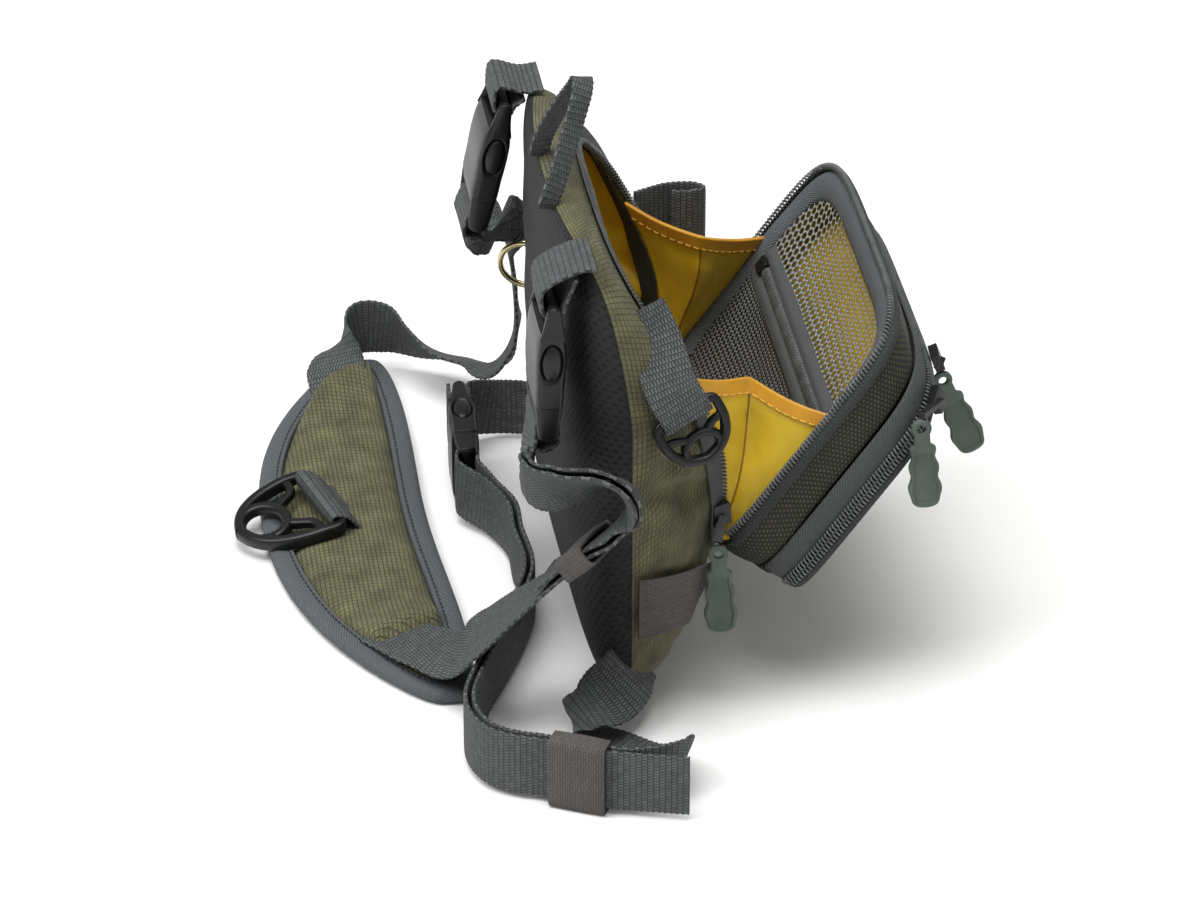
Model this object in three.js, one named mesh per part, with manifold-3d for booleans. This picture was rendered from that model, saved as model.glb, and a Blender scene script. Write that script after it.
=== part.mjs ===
// Chest pack standing open on a flat surface, with its neck harness and waist belt lying round it.
// Millimetres, +Z up. The wearer stands on the +Y side, the pack opens to -Y, and the near side is -X.
// The origin is the middle of the padded back, where the pack rests on the wearer's chest.
import * as THREE from "three";
import { mergeVertices } from "three/addons/utils/BufferGeometryUtils.js";
import Module from "manifold-3d";

const wasm = await Module();
wasm.setup();

// Driving sizes
const GAP = 0.4;
const CLOTH = 2;
const FLOOR = -103;
const WEB_WIDTH = 25;
const WEB_THICK = 1.6;
const BACK = { halfWidth: 92, high: 87, low: 103, top: 7, bottom: 8, padThick: 12 };
const MOUTH = { halfWidth: 76, low: -45, high: 77.5, top: 3.8, bottom: 7 };
const FLAP = { halfWidth: 77, length: 118, top: 5.4, bottom: 7, hingeY: -58.5, hingeZ: -45, openDeg: 36.5 };
const FLAP_WALL = 17;
const POCKET_DEPTH = 33;
const POCKET_BULGE = 39;
const TOP_SLOPE = 0.62;
const ZIP_BAR = { wide: 3, thick: 2.4 };
const INNER_ZIP_AT = 65;
const NECK_PAD = { length: 268, halfWidth: 33, taper: 0.55, bow: 24, skew: 4, thick: 8, rim: 9, rimThick: 5 };
const NECK_PAD_AT = { x: 63, y: 70 };

const materials = {
  ripstop: ["#7f7a56", 0.85, 0],
  mesh_black: ["#1d1f1d", 0.9, 0],
  webbing: ["#5f646a", 0.8, 0],
  binding: ["#5a5f66", 0.85, 0],
  lining: ["#e2b91e", 0.7, 0],
  net: ["#4a4d4c", 0.7, 0],
  net_clear: ["#b9b7a4", 0.5, 0],
  acetal: ["#191b1c", 0.4, 0],
  zip: ["#33383a", 0.6, 0],
  rubber: ["#4c574f", 0.75, 0],
  elastic: ["#6f6a67", 0.9, 0],
  brass: ["#b9a264", 0.3, 1],
};

const pack = new THREE.Group();
const vec = (x, y, z) => new THREE.Vector3(x, y, z);

function place(name, slot, geometry) {
  const [color, roughness, metalness] = materials[slot];
  const mesh = new THREE.Mesh(geometry, new THREE.MeshStandardMaterial({ color, roughness, metalness }));
  mesh.name = name;
  pack.add(mesh);
}

// Closed body from corner points and triangles: equal points are joined, empty faces dropped, faces turned out
function body(points, triangles) {
  const flat = new Float32Array(points.flatMap((p) => [p.x, p.y, p.z]));
  const raw = new THREE.BufferGeometry();
  raw.setAttribute("position", new THREE.BufferAttribute(flat, 3));
  raw.setIndex(triangles.flat());
  const merged = mergeVertices(raw, 1e-3);
  const index = merged.index.array;
  const kept = [];
  for (let i = 0; i < index.length; i += 3) {
    const [a, b, c] = [index[i], index[i + 1], index[i + 2]];
    if (a !== b && b !== c && a !== c) kept.push([a, b, c]);
  }
  const at = (i) => new THREE.Vector3().fromBufferAttribute(merged.attributes.position, i);
  const volume = kept.reduce((sum, [a, b, c]) => sum + at(a).dot(at(b).cross(at(c))), 0);
  merged.setIndex((volume < 0 ? kept.map(([a, b, c]) => [a, c, b]) : kept).flat());
  return merged;
}

// Wall between an outer and an inner grid of points (rows by columns), closed along its open edges
function wall(outer, inner, { round = true, firstRim = true, lastRim = true } = {}) {
  const rows = outer.length;
  const columns = outer[0].length;
  const points = [...outer.flat(), ...inner.flat()];
  const out = (i, j) => i * columns + (j % columns);
  const into = (i, j) => rows * columns + out(i, j);
  const triangles = [];
  const quad = (a, b, c, d) => triangles.push([a, b, c], [a, c, d]);
  const spans = round ? columns : columns - 1;
  for (let i = 0; i < rows - 1; i++) {
    for (let j = 0; j < spans; j++) {
      quad(out(i, j), out(i, j + 1), out(i + 1, j + 1), out(i + 1, j));
      quad(into(i, j), into(i + 1, j), into(i + 1, j + 1), into(i, j + 1));
    }
  }
  for (let j = 0; j < spans; j++) {
    if (firstRim) quad(into(0, j), into(0, j + 1), out(0, j + 1), out(0, j));
    if (lastRim) quad(out(rows - 1, j), out(rows - 1, j + 1), into(rows - 1, j + 1), into(rows - 1, j));
  }
  if (!round) {
    for (let i = 0; i < rows - 1; i++) {
      quad(out(i, 0), out(i + 1, 0), into(i + 1, 0), into(i, 0));
      quad(into(i, columns - 1), into(i + 1, columns - 1), out(i + 1, columns - 1), out(i, columns - 1));
    }
  }
  return body(points, triangles);
}

// Grid moved along its own normals by a distance that may change from row to row
function offset(grid, distance, round = true) {
  const columns = grid[0].length;
  return grid.map((row, i) =>
    row.map((p, j) => {
      const up = grid[Math.min(i + 1, grid.length - 1)][j].clone().sub(grid[Math.max(i - 1, 0)][j]);
      const next = round ? row[(j + 1) % columns] : row[Math.min(j + 1, columns - 1)];
      const last = round ? row[(j + columns - 1) % columns] : row[Math.max(j - 1, 0)];
      const normal = up.cross(next.clone().sub(last)).normalize();
      return p.clone().addScaledVector(normal, distance);
    }),
  );
}

// Smooth value from a short table of [place, value] rows
function fromTable(rows, x) {
  if (x <= rows[0][0]) return rows[0][1];
  const k = rows.findIndex(([place]) => place >= x);
  if (k < 0) return rows[rows.length - 1][1];
  const slope = (i) => {
    const a = rows[Math.max(i - 1, 0)];
    const b = rows[Math.min(i + 1, rows.length - 1)];
    return (b[1] - a[1]) / (b[0] - a[0]);
  };
  const step = rows[k][0] - rows[k - 1][0];
  const t = (x - rows[k - 1][0]) / step;
  const rise = t * t * (3 - 2 * t);
  const ease = t * (1 - t) * step;
  const bend = ease * ((1 - t) * slope(k - 1) - t * slope(k));
  return rows[k - 1][1] + (rows[k][1] - rows[k - 1][1]) * rise + bend;
}

// Squared-off oval: its point at an angle from the +first axis, squareness given for the upper and lower half
const power = (c, n) => Math.sign(c) * Math.abs(c) ** (2 / n);
function oval(angle, halfWidth, high, low, top, bottom) {
  const upper = Math.sin(angle) >= 0;
  const n = upper ? top : bottom;
  return [halfWidth * power(Math.cos(angle), n), (upper ? high : low) * power(Math.sin(angle), n)];
}
const around = (count) => Array.from({ length: count }, (_, j) => (2 * Math.PI * j) / count);
function between(from, to, steps) {
  return Array.from({ length: steps + 1 }, (_, i) => from + ((to - from) * i) / steps);
}

// Webbing along a route of [x, y, z, then the direction of its width] rows: short flat links joined end to end
const WEB_FINE = 0.15;
function webbing(route, { width = WEB_WIDTH, thick = WEB_THICK, steps = 4 } = {}) {
  const path = new THREE.CatmullRomCurve3(route.map((r) => vec(r[0], r[1], r[2])), false, "centripetal");
  const ways = new THREE.CatmullRomCurve3(route.map((r) => vec(r[3], r[4], r[5])), false, "centripetal");
  const sections = between(0, 1, (route.length - 1) * steps).map((t) => {
    const tangent = path.getTangent(t).normalize();
    const way = ways.getPoint(t);
    way.addScaledVector(tangent, -way.dot(tangent)).normalize();
    const normal = tangent.clone().cross(way);
    const corner = (a, b) => {
      const edge = path.getPoint(t).addScaledVector(way, (a * width) / 2);
      return edge.addScaledVector(normal, (b * thick) / 2).toArray();
    };
    return [corner(-1, -1), corner(1, -1), corner(1, 1), corner(-1, 1)];
  });
  const links = sections.slice(1).map((section, i) => wasm.Manifold.hull([...sections[i], ...section]));
  const parts = wasm.Manifold.union(links).simplify(WEB_FINE).decompose();
  return fromManifold(parts.reduce((a, b) => (a.volume() > b.volume() ? a : b)));
}

// Closed body through a run of matching rings of points
function tube(rings, round = false) {
  const n = rings[0].length;
  const triangles = [];
  const spans = round ? rings.length : rings.length - 1;
  for (let i = 0; i < spans; i++) {
    for (let j = 0; j < n; j++) {
      const a = i * n + j;
      const b = i * n + ((j + 1) % n);
      const c = ((i + 1) % rings.length) * n + ((j + 1) % n);
      const d = ((i + 1) % rings.length) * n + j;
      triangles.push([a, b, c], [a, c, d]);
    }
  }
  if (!round) {
    const last = (rings.length - 1) * n;
    for (let j = 1; j < n - 1; j++) triangles.push([0, j + 1, j], [last, last + j, last + j + 1]);
  }
  return body(rings.flat(), triangles);
}

// Bar of a given section that follows points with a known outward direction at each
function bar(points, outs, wide, thick) {
  const rings = points.map((p, i) => {
    const after = points[Math.min(i + 1, points.length - 1)];
    const ahead = after.clone().sub(points[Math.max(i - 1, 0)]).normalize();
    const out = outs[i].clone().addScaledVector(ahead, -outs[i].dot(ahead)).normalize();
    const side = ahead.clone().cross(out);
    const corner = (a, b) =>
      p.clone().addScaledVector(out, (a * thick) / 2).addScaledVector(side, (b * wide) / 2);
    return [corner(-1, -1), corner(1, -1), corner(1, 1), corner(-1, 1)];
  });
  return tube(rings);
}

// Flat plate cut from a shape, set in a frame of three axes and centred on its thickness
function plate(shape, thick, frame) {
  const geometry = new THREE.ExtrudeGeometry(shape, { depth: thick, bevelEnabled: false, curveSegments: 8 });
  geometry.translate(0, 0, -thick / 2);
  return geometry.applyMatrix4(frame);
}
function frameOf(origin, first, second) {
  const a = first.clone().normalize();
  const b = second.clone().addScaledVector(a, -second.dot(a)).normalize();
  return new THREE.Matrix4().makeBasis(a, b, a.clone().cross(b)).setPosition(origin);
}
function box(x0, x1, y0, y1, z0, z1, frame) {
  const geometry = new THREE.BoxGeometry(x1 - x0, y1 - y0, z1 - z0);
  geometry.translate((x0 + x1) / 2, (y0 + y1) / 2, (z0 + z1) / 2);
  return geometry.applyMatrix4(frame);
}
function rectangle(shape, x0, x1, y0, y1) {
  shape.moveTo(x0, y0);
  shape.lineTo(x1, y0);
  shape.lineTo(x1, y1);
  shape.lineTo(x0, y1);
  shape.closePath();
  return shape;
}

function toManifold(geometry) {
  const plain = geometry.clone();
  plain.deleteAttribute("normal");
  plain.deleteAttribute("uv");
  const merged = mergeVertices(plain, 1e-3);
  const vertProperties = new Float32Array(merged.attributes.position.array);
  const triVerts = new Uint32Array(merged.index.array);
  return new wasm.Manifold(new wasm.Mesh({ numProp: 3, vertProperties, triVerts }));
}
function fromManifold(solid) {
  const mesh = solid.getMesh();
  const geometry = new THREE.BufferGeometry();
  geometry.setAttribute("position", new THREE.BufferAttribute(mesh.vertProperties, 3));
  geometry.setIndex(new THREE.BufferAttribute(mesh.triVerts, 1));
  return geometry;
}
const joined = (...parts) => fromManifold(parts.map(toManifold).reduce((a, b) => a.add(b)));
function cut(whole, ...holes) {
  return fromManifold(holes.map(toManifold).reduce((a, b) => a.subtract(b), toManifold(whole)));
}

// Padded back: a domed mesh cushion whose rim is the seam with the olive panels
const BACK_COLUMNS = around(48);
const SEAM_SIDE_Y = -24;
function seamY(x, z) {
  const climb = Math.max(0, (z - 20) / 67) ** 1.4;
  const arch = Math.min(1, Math.max(0, (z - 60) / 27)) * (1 - (x / BACK.halfWidth) ** 2);
  return SEAM_SIDE_Y + 12 * climb + 10 * arch;
}
function rearY(x, z) {
  const low = Math.max(0, -z / BACK.low);
  return -2.5 * (x / BACK.halfWidth) ** 2 - 10 * low ** 2.5;
}
function seam(angle, scale = 1) {
  const [x, z] = oval(angle, BACK.halfWidth, BACK.high, BACK.low, BACK.top, BACK.bottom);
  return vec(x * scale, seamY(x, z), z * scale);
}
function padSurface(share, angle, depth, scale, squareness) {
  const rim = seam(angle);
  const x = rim.x * share * scale;
  const z = rim.z * share * scale;
  const dome = (1 - share ** squareness) ** (1 / squareness);
  return vec(x, rim.y + (rearY(x, z) - depth - rim.y) * dome, z);
}
const padShares = [0, 0.42, 0.74, 0.89, 0.965, 1];
const padRear = padShares.map((share) => BACK_COLUMNS.map((a) => padSurface(share, a, 0, 1, 3.4)));
const padFront = padShares.map((share) =>
  BACK_COLUMNS.map((a) => padSurface(share, a, BACK.padThick, 0.955, 3.4)),
);
place("back_pad", "mesh_black", wall(padRear, padFront, { firstRim: false }));

// Rear shell: olive panels from the seam to the zipped mouth; below the mouth it closes as a tub
const MOUTH_PROFILE = [
  // height, y
  [-45, -58],
  [0, -57.4],
  [45, -39.2],
  [77.5, -19.1],
];
function mouth(angle) {
  const half = (MOUTH.high - MOUTH.low) / 2;
  const [x, rise] = oval(angle, MOUTH.halfWidth, half, half, MOUTH.top, MOUTH.bottom);
  const z = MOUTH.low + half + rise;
  return vec(x, fromTable(MOUTH_PROFILE, z), z);
}
const SIDE_DENTS = [
  // height, depth, spread
  [34, 1.6, 9],
  [-6, 3.2, 7],
  [-27, 2.4, 6],
];
function shellPoint(angle, share) {
  const from = seam(angle);
  const to = mouth(angle);
  const low = Math.max(0, -Math.sin(angle));
  const height = from.z + (to.z - from.z) * share;
  const dents = SIDE_DENTS.map(([at, depth, spread]) => depth * Math.exp(-(((height - at) / spread) ** 2)));
  const sag = dents.reduce((sum, depth) => sum + depth, 0) * Math.abs(Math.cos(angle));
  const bulge = (5 + 6 * low ** 2 - sag) * Math.sin(Math.PI * share);
  const outward = vec(from.x / BACK.halfWidth, -0.35 * low, from.z / BACK.high).normalize();
  return from.lerp(to, share).addScaledVector(outward, bulge);
}
const shellShares = [0.014, 0.2, 0.4, 0.6, 0.8, 1];
const shellOuter = shellShares.map((share) => BACK_COLUMNS.map((a) => shellPoint(a, share)));
const shellInner = offset(shellOuter, CLOTH);
shellInner.forEach((row) => row.forEach((p, j) => (p.y = Math.min(p.y, seam(BACK_COLUMNS[j]).y - GAP))));
place("rear_shell", "ripstop", wall(shellOuter, shellInner));

// Flap: its own flat frame, hinged along the low edge of the mouth
const openAngle = THREE.MathUtils.degToRad(FLAP.openDeg);
const flapUp = vec(0, -Math.sin(openAngle), Math.cos(openAngle));
const flapOut = vec(0, -Math.cos(openAngle), -Math.sin(openAngle));
function onFlap(x, along, depth) {
  return vec(x, FLAP.hingeY, FLAP.hingeZ).addScaledVector(flapUp, along).addScaledVector(flapOut, depth);
}
function flapEdge(angle, depth, inset = 0) {
  const length = FLAP.length - TOP_SLOPE * depth;
  const half = length / 2 - inset;
  const [x, rise] = oval(angle, FLAP.halfWidth - inset, half, half, FLAP.top, FLAP.bottom);
  return [x, length / 2 + rise];
}
const FLAP_COLUMNS = around(40);
function flapRings(rows) {
  return rows.map(([depth, inset, share]) =>
    FLAP_COLUMNS.map((a) => {
      const [x, along] = flapEdge(a, depth, inset);
      const middle = (FLAP.length - TOP_SLOPE * depth) / 2;
      return onFlap(x * share, middle + (along - middle) * share, depth);
    }),
  );
}
// depth below the open edge, inset from the outline, share of the way out from the middle
const flapOuter = flapRings([[FLAP_WALL, 0, 0], [FLAP_WALL, 0, 1], [FLAP_WALL / 2, 0, 1], [0, 0, 1]]);
const flapInner = flapRings([
  [FLAP_WALL - CLOTH, CLOTH, 0],
  [FLAP_WALL - CLOTH, CLOTH, 1],
  [FLAP_WALL / 2, CLOTH, 1],
  [0, CLOTH, 1],
]);
place("flap_shell", "ripstop", wall(flapOuter, flapInner, { firstRim: false }));

// Front pocket: a shallow cup over the flap, open to it, with a bowed front
const pocketStart = FLAP_WALL + GAP;
const pocketOuter = flapRings([
  [POCKET_BULGE, 0, 0],
  [POCKET_BULGE - 1, 0, 0.5],
  [POCKET_DEPTH + 2, 4, 0.9],
  [POCKET_DEPTH, 1, 0.985],
  [POCKET_DEPTH - 3, 0, 1],
  [pocketStart, 0, 1],
]);
const pocketInner = flapRings([
  [POCKET_BULGE - CLOTH, 0, 0],
  [POCKET_BULGE - 1 - CLOTH, 0, 0.49],
  [POCKET_DEPTH + 2 - CLOTH, 5, 0.88],
  [POCKET_DEPTH - CLOTH, 3, 0.97],
  [POCKET_DEPTH - 3, CLOTH, 1],
  [pocketStart, CLOTH, 1],
]);
place("front_pocket", "ripstop", wall(pocketOuter, pocketInner, { firstRim: false }));

// Zip strips: one along the mouth, one along the flap's edge, one round the front pocket
const steps = (first, last, count) => between(first, last, last - first).map((j) => (2 * Math.PI * j) / count);
const mouthAngles = steps(-3, 27, BACK_COLUMNS.length);
const mouthRim = mouthAngles.map((a) => {
  const edge = shellPoint(a, 1);
  const ahead = edge.clone().sub(shellPoint(a, 0.8)).normalize();
  return edge.addScaledVector(ahead, 1.5 + ZIP_BAR.wide / 2);
});
const mouthOuts = mouthAngles.map((a) => vec(Math.cos(a), -0.5, Math.sin(a)));
place("zip_mouth", "zip", bar(mouthRim, mouthOuts, ZIP_BAR.wide, ZIP_BAR.thick));
function flapOutward(angle) {
  const rise = Math.sin(angle);
  const slope = TOP_SLOPE * Math.max(0, rise);
  return vec(Math.cos(angle), 0, 0).addScaledVector(flapUp, rise).addScaledVector(flapOut, slope).normalize();
}
function flapBar(angles, depth, inset) {
  const points = angles.map((a) => onFlap(...flapEdge(a, depth, inset), depth));
  const outs = angles.map((a) => flapOutward(a));
  return bar(points, outs, ZIP_BAR.wide, ZIP_BAR.thick);
}
const flapAngles = steps(-2, 22, FLAP_COLUMNS.length);
place("zip_flap", "zip", flapBar(flapAngles, -1 - ZIP_BAR.wide / 2, 1.2));
const POCKET_ZIP_DEPTH = 28;
place("zip_pocket", "zip", flapBar(flapAngles, POCKET_ZIP_DEPTH, -0.6 - ZIP_BAR.thick / 2));

// Flap inside: a bound edge, two net panels and the zip between them
const BIND_WIDE = 8;
const BIND_IN = CLOTH + GAP;
const bindAngles = steps(-4, 24, FLAP_COLUMNS.length);
const bindRow = (depth, inset) => bindAngles.map((a) => onFlap(...flapEdge(a, depth, inset), depth));
const bindTop = [bindRow(0.6, BIND_IN), bindRow(0.6, BIND_IN + BIND_WIDE)];
const bindUnder = [bindRow(2.6, BIND_IN), bindRow(2.6, BIND_IN + BIND_WIDE)];
place("flap_binding", "binding", wall(bindTop, bindUnder, { round: false }));
function netPanel(low, high, sagDepth) {
  const inset = BIND_IN + BIND_WIDE + 0.6;
  const grid = (extra) =>
    between(low, high, 5).map((along) =>
      between(-1, 1, 8).map((side) => {
        const half = netHalfWidth(along, inset);
        const sag = sagDepth * (1 - side ** 2) * Math.sin((Math.PI * (along - low)) / (high - low));
        return onFlap(side * half, along, 2 + sag + extra);
      }),
    );
  return wall(grid(0), grid(1.2), { round: false });
}
function netHalfWidth(along, inset) {
  const middle = (FLAP.length - 4 * TOP_SLOPE) / 2;
  const n = along > middle ? FLAP.top : FLAP.bottom;
  const reach = Math.min(0.999, Math.abs(along - middle) / (middle - inset));
  return (FLAP.halfWidth - inset) * (1 - reach ** n) ** (1 / n);
}
place("flap_net_lower", "net", netPanel(13, INNER_ZIP_AT - 5, 4));
place("flap_net_upper", "net_clear", netPanel(INNER_ZIP_AT + 5, 102, 3));
const innerZipFrame = frameOf(onFlap(0, INNER_ZIP_AT, 2.4), vec(1, 0, 0), flapUp);
place("zip_inner", "zip", box(-65, 65, -4.6, 4.6, -0.9, 0.9, innerZipFrame));

// Gussets: a folded yellow sheet each side, from the hinge to a hem between mouth and flap
const GUSSET_MOUTH_TOP = 33;
const GUSSET_FLAP_TOP = 72;
const GUSSET_FOLD = 16;
function mouthHalfWidth(z) {
  const half = (MOUTH.high - MOUTH.low) / 2;
  const rise = z - MOUTH.low - half;
  const n = rise > 0 ? MOUTH.top : MOUTH.bottom;
  return MOUTH.halfWidth * (1 - Math.min(1, Math.abs(rise) / half) ** n) ** (1 / n);
}
function gusset(side) {
  const grid = (lift) =>
    between(0.12, 1, 8).map((share) => {
      const z = MOUTH.low + (GUSSET_MOUTH_TOP - MOUTH.low) * share;
      const back = vec(side * (mouthHalfWidth(z) - 4.5), fromTable(MOUTH_PROFILE, z) + 1, z);
      const along = GUSSET_FLAP_TOP * share;
      const front = onFlap(side * (netHalfWidth(along, 0) - 4), along, -0.4);
      return between(0, 1, 8).map((across) => {
        const tent = 1 - Math.abs(2 * across - 1);
        const point = back.clone().lerp(front, across);
        point.x -= side * (GUSSET_FOLD * tent * share + lift);
        return point;
      });
    });
  return wall(grid(0), grid(1.2), { round: false });
}
place("gusset_near", "lining", gusset(-1));
place("gusset_far", "lining", gusset(1));

// Side-release buckle in its own frame: width, length towards the fixed strap, thickness
const BUCKLE = { half: 16.5, female: 36, male: 18.5, thick: 11, frame: 5, slot: 13.4 };
const BAR_LEVEL = 4;
function buckle(name, origin, width, length) {
  const frame = frameOf(origin, width, length);
  const at = (w, l, t) => vec(w, l, t).applyMatrix4(frame);
  const half = BUCKLE.half;
  const ring = rectangle(new THREE.Shape(), -half, half, 0, BUCKLE.female);
  ring.holes.push(rectangle(new THREE.Path(), -BUCKLE.slot, BUCKLE.slot, 27.4, 32.6));
  const shell = box(-half, half, 0, 25, -BUCKLE.thick / 2, BUCKLE.thick / 2, frame);
  const prongRoom = [-1, 1].flatMap((s) => {
    const [near, far] = s < 0 ? [-15.3, -11] : [11, 15.3];
    const [windowNear, windowFar] = s < 0 ? [-half - 1, -11] : [11, half + 1];
    return [
      box(near, far, -1, 20, -2.6, 2.6, frame),
      box(windowNear, windowFar, 7, 19.5, -3.6, 3.6, frame),
    ];
  });
  place(name + "_socket", "acetal", cut(joined(plate(ring, BUCKLE.frame, frame), shell), ...prongRoom));
  const tail = rectangle(new THREE.Shape(), -half + 1, half - 1, -BUCKLE.male, -GAP);
  tail.holes.push(rectangle(new THREE.Path(), -BUCKLE.slot, BUCKLE.slot, -12.6, -7.6));
  const collar = box(-half + 1, half - 1, -6.5, -GAP, -4.5, 4.5, frame);
  const prongs = [-1, 1].map((s) => box(s < 0 ? -14.8 : 11.5, s < 0 ? -11.5 : 14.8, -3, 19, -2.1, 2.1, frame));
  place(name + "_plug", "acetal", joined(plate(tail, BUCKLE.frame, frame), collar, ...prongs));
  const way = width.clone().normalize();
  const turn = (l, toward) =>
    [
      // thickness level, length from the bar's edge
      [1, 9 * toward],
      [1, 2 * toward],
      [0.8, -0.7 * toward],
      [0, -1.3 * toward],
      [-0.8, -0.7 * toward],
      [-1, 2 * toward],
      [-1, 9 * toward],
    ].map(([level, step]) => [...at(0, l + step, level * BAR_LEVEL).toArray(), ...way.toArray()]);
  return { socketTurn: turn(32.6, 1), plugTurn: turn(-12.6, -1), at };
}
const xWay = [1, 0, 0];
const zWay = [0, 0, 1];
const near = buckle("buckle_near", vec(-75, 6.8, 39), vec(1, 0, 0), vec(0, -0.05, 1));
const far = buckle("buckle_far", vec(75, 12, 49), vec(1, 0, 0), vec(0, -0.22, 0.975));
const waist = buckle("buckle_waist", vec(86, 19, FLOOR + 16.8), vec(0, 0, 1), vec(1, -0.05, 0));

// Shoulder tabs: webbing from the top corners of the seam, round the socket's bar and back
function shoulderTab(side, turn, sewn) {
  const rise = sewn.z;
  const start = [
    [side * 75, sewn.y, rise, ...xWay],
    [side * 75, sewn.y + 9, rise + 0.6, ...xWay],
  ];
  const end = [side * 75, sewn.y + 7.4, rise - 3.7, ...xWay];
  return webbing([...start, ...turn.slice(0, -1), end], { steps: 2 });
}
place("tab_near", "webbing", shoulderTab(-1, near.socketTurn.toReversed(), vec(0, -11, 88.6)));
place("tab_far", "webbing", shoulderTab(1, far.socketTurn.toReversed(), vec(0, -11, 88.6)));

// Hang loop on the top seam
const HANG_LOOP = [
  // x, y, z, width direction
  [22, -5, 89.6, 0.3, -0.9, 0.2],
  [20, -7, 97, 0.3, -0.9, 0.2],
  [12, -13, 112, 0.3, -0.9, 0.2],
  [2, -17, 123, 0.4, -0.85, 0.2],
  [-8, -15, 119, 0.5, -0.8, 0.2],
  [-18, -9, 105, 0.4, -0.85, 0.2],
  [-26, -5, 95, 0.3, -0.9, 0.2],
  [-28, -4, 90, 0.3, -0.9, 0.2],
];
place("hang_loop", "webbing", webbing(HANG_LOOP, { width: 12, steps: 3 }));

// Neck straps: from each plug to the neck pad; the near one doubles back to a free end
function beside(rows, distance) {
  return rows.map((row, i) => {
    const before = rows[Math.max(i - 1, 0)];
    const after = rows[Math.min(i + 1, rows.length - 1)];
    const ahead = vec(after[0] - before[0], after[1] - before[1], after[2] - before[2]).normalize();
    const aside = ahead.cross(vec(...row.slice(3))).normalize().multiplyScalar(distance);
    return [row[0] + aside.x, row[1] + aside.y, row[2] + aside.z, ...row.slice(3)];
  });
}
const NECK_NEAR = [
  // x, y, z, width direction
  [-76, 12, 10, -0.95, 0, 0.3],
  [-83, 12.5, 4, -0.6, 0, 0.8],
  [-94, 9, 6, -0.4, 0.2, 0.9],
  [-103, 1, 12, -0.6, 0.2, 0.75],
  [-109, -9, 16, -0.8, 0.15, 0.55],
  [-112, -18, 12, -0.86, 0.1, 0.5],
  [-112, -22, 2, -0.86, 0.1, 0.5],
  [-110, -17, -8, -0.86, 0, 0.5],
  [-105, -6, -20, -0.86, 0, 0.5],
  [-98, 8, -35, -0.9, 0, 0.4],
  [-88, 21, -52, -0.95, 0, 0.25],
  [-75, 32, -70, -0.98, 0, 0.15],
  [-60, 44, -86, -1, 0, 0.1],
  [-45, 57, -92.8, -1, 0.1, 0],
  [-31, 68, -93, -0.9, 0.4, 0],
];
const TAIL_ROWS = 10;
const TAIL_SPACE = 3;
const neckTail = beside(NECK_NEAR.slice(0, TAIL_ROWS), TAIL_SPACE).slice(1);
const neckNear = [...neckTail.toReversed(), ...near.plugTurn.toReversed(), ...NECK_NEAR];
place("neck_strap_near", "webbing", webbing(neckNear, { steps: 2 }));
const NECK_FAR = [
  [79, 9, 20, 0.9, 0, -0.4],
  [89, 5, 16, 0.8, 0, -0.6],
  [106, 1, 10, 0.86, -0.1, -0.5],
  [122, -3, -6, 0.88, -0.1, -0.45],
  [132, -7, -30, 0.88, -0.1, -0.45],
  [143, -8, -62, 0.88, -0.1, -0.45],
  [160, 0, -84, 0.88, -0.1, -0.45],
  [174, 15, -87, 0.88, -0.1, -0.42],
  [187, 31, -87, 0.92, -0.1, -0.2],
  [195, 43, -83, 0.97, -0.1, 0.1],
  [198, 52, -86, 0.9, 0.35, 0.1],
  [190, 57, -91.6, 0.6, 0.8, 0],
  [177, 59, -93, 0.1, 1, 0],
];
place("neck_strap_far", "webbing", webbing([...far.plugTurn, ...NECK_FAR], { steps: 2 }));

// Elastic keeper: a flat sleeve round the two layers of a strap
function keeper(rows, at, length, middle) {
  const [before, here, after] = [rows[at - 1], rows[at], rows[at + 1]];
  const ahead = vec(after[0] - before[0], after[1] - before[1], after[2] - before[2]).normalize();
  const across = vec(...here.slice(3)).cross(ahead).negate();
  const frame = frameOf(vec(...here), across.clone().negate().cross(ahead).negate(), across);
  const wide = KEEPER.wide / 2;
  const deep = KEEPER.deep / 2;
  const outline = (shape, grow) =>
    rectangle(shape, -wide - grow, wide + grow, middle - deep - grow, middle + deep + grow);
  const shape = outline(new THREE.Shape(), KEEPER.wall);
  shape.holes.push(outline(new THREE.Path(), 0));
  return plate(shape, length, frame);
}
const KEEPER = { wide: 26.4, deep: 9.4, wall: 1.2 };
place("keeper_neck", "elastic", keeper(NECK_NEAR, 8, 13, TAIL_SPACE / 2));

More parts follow.
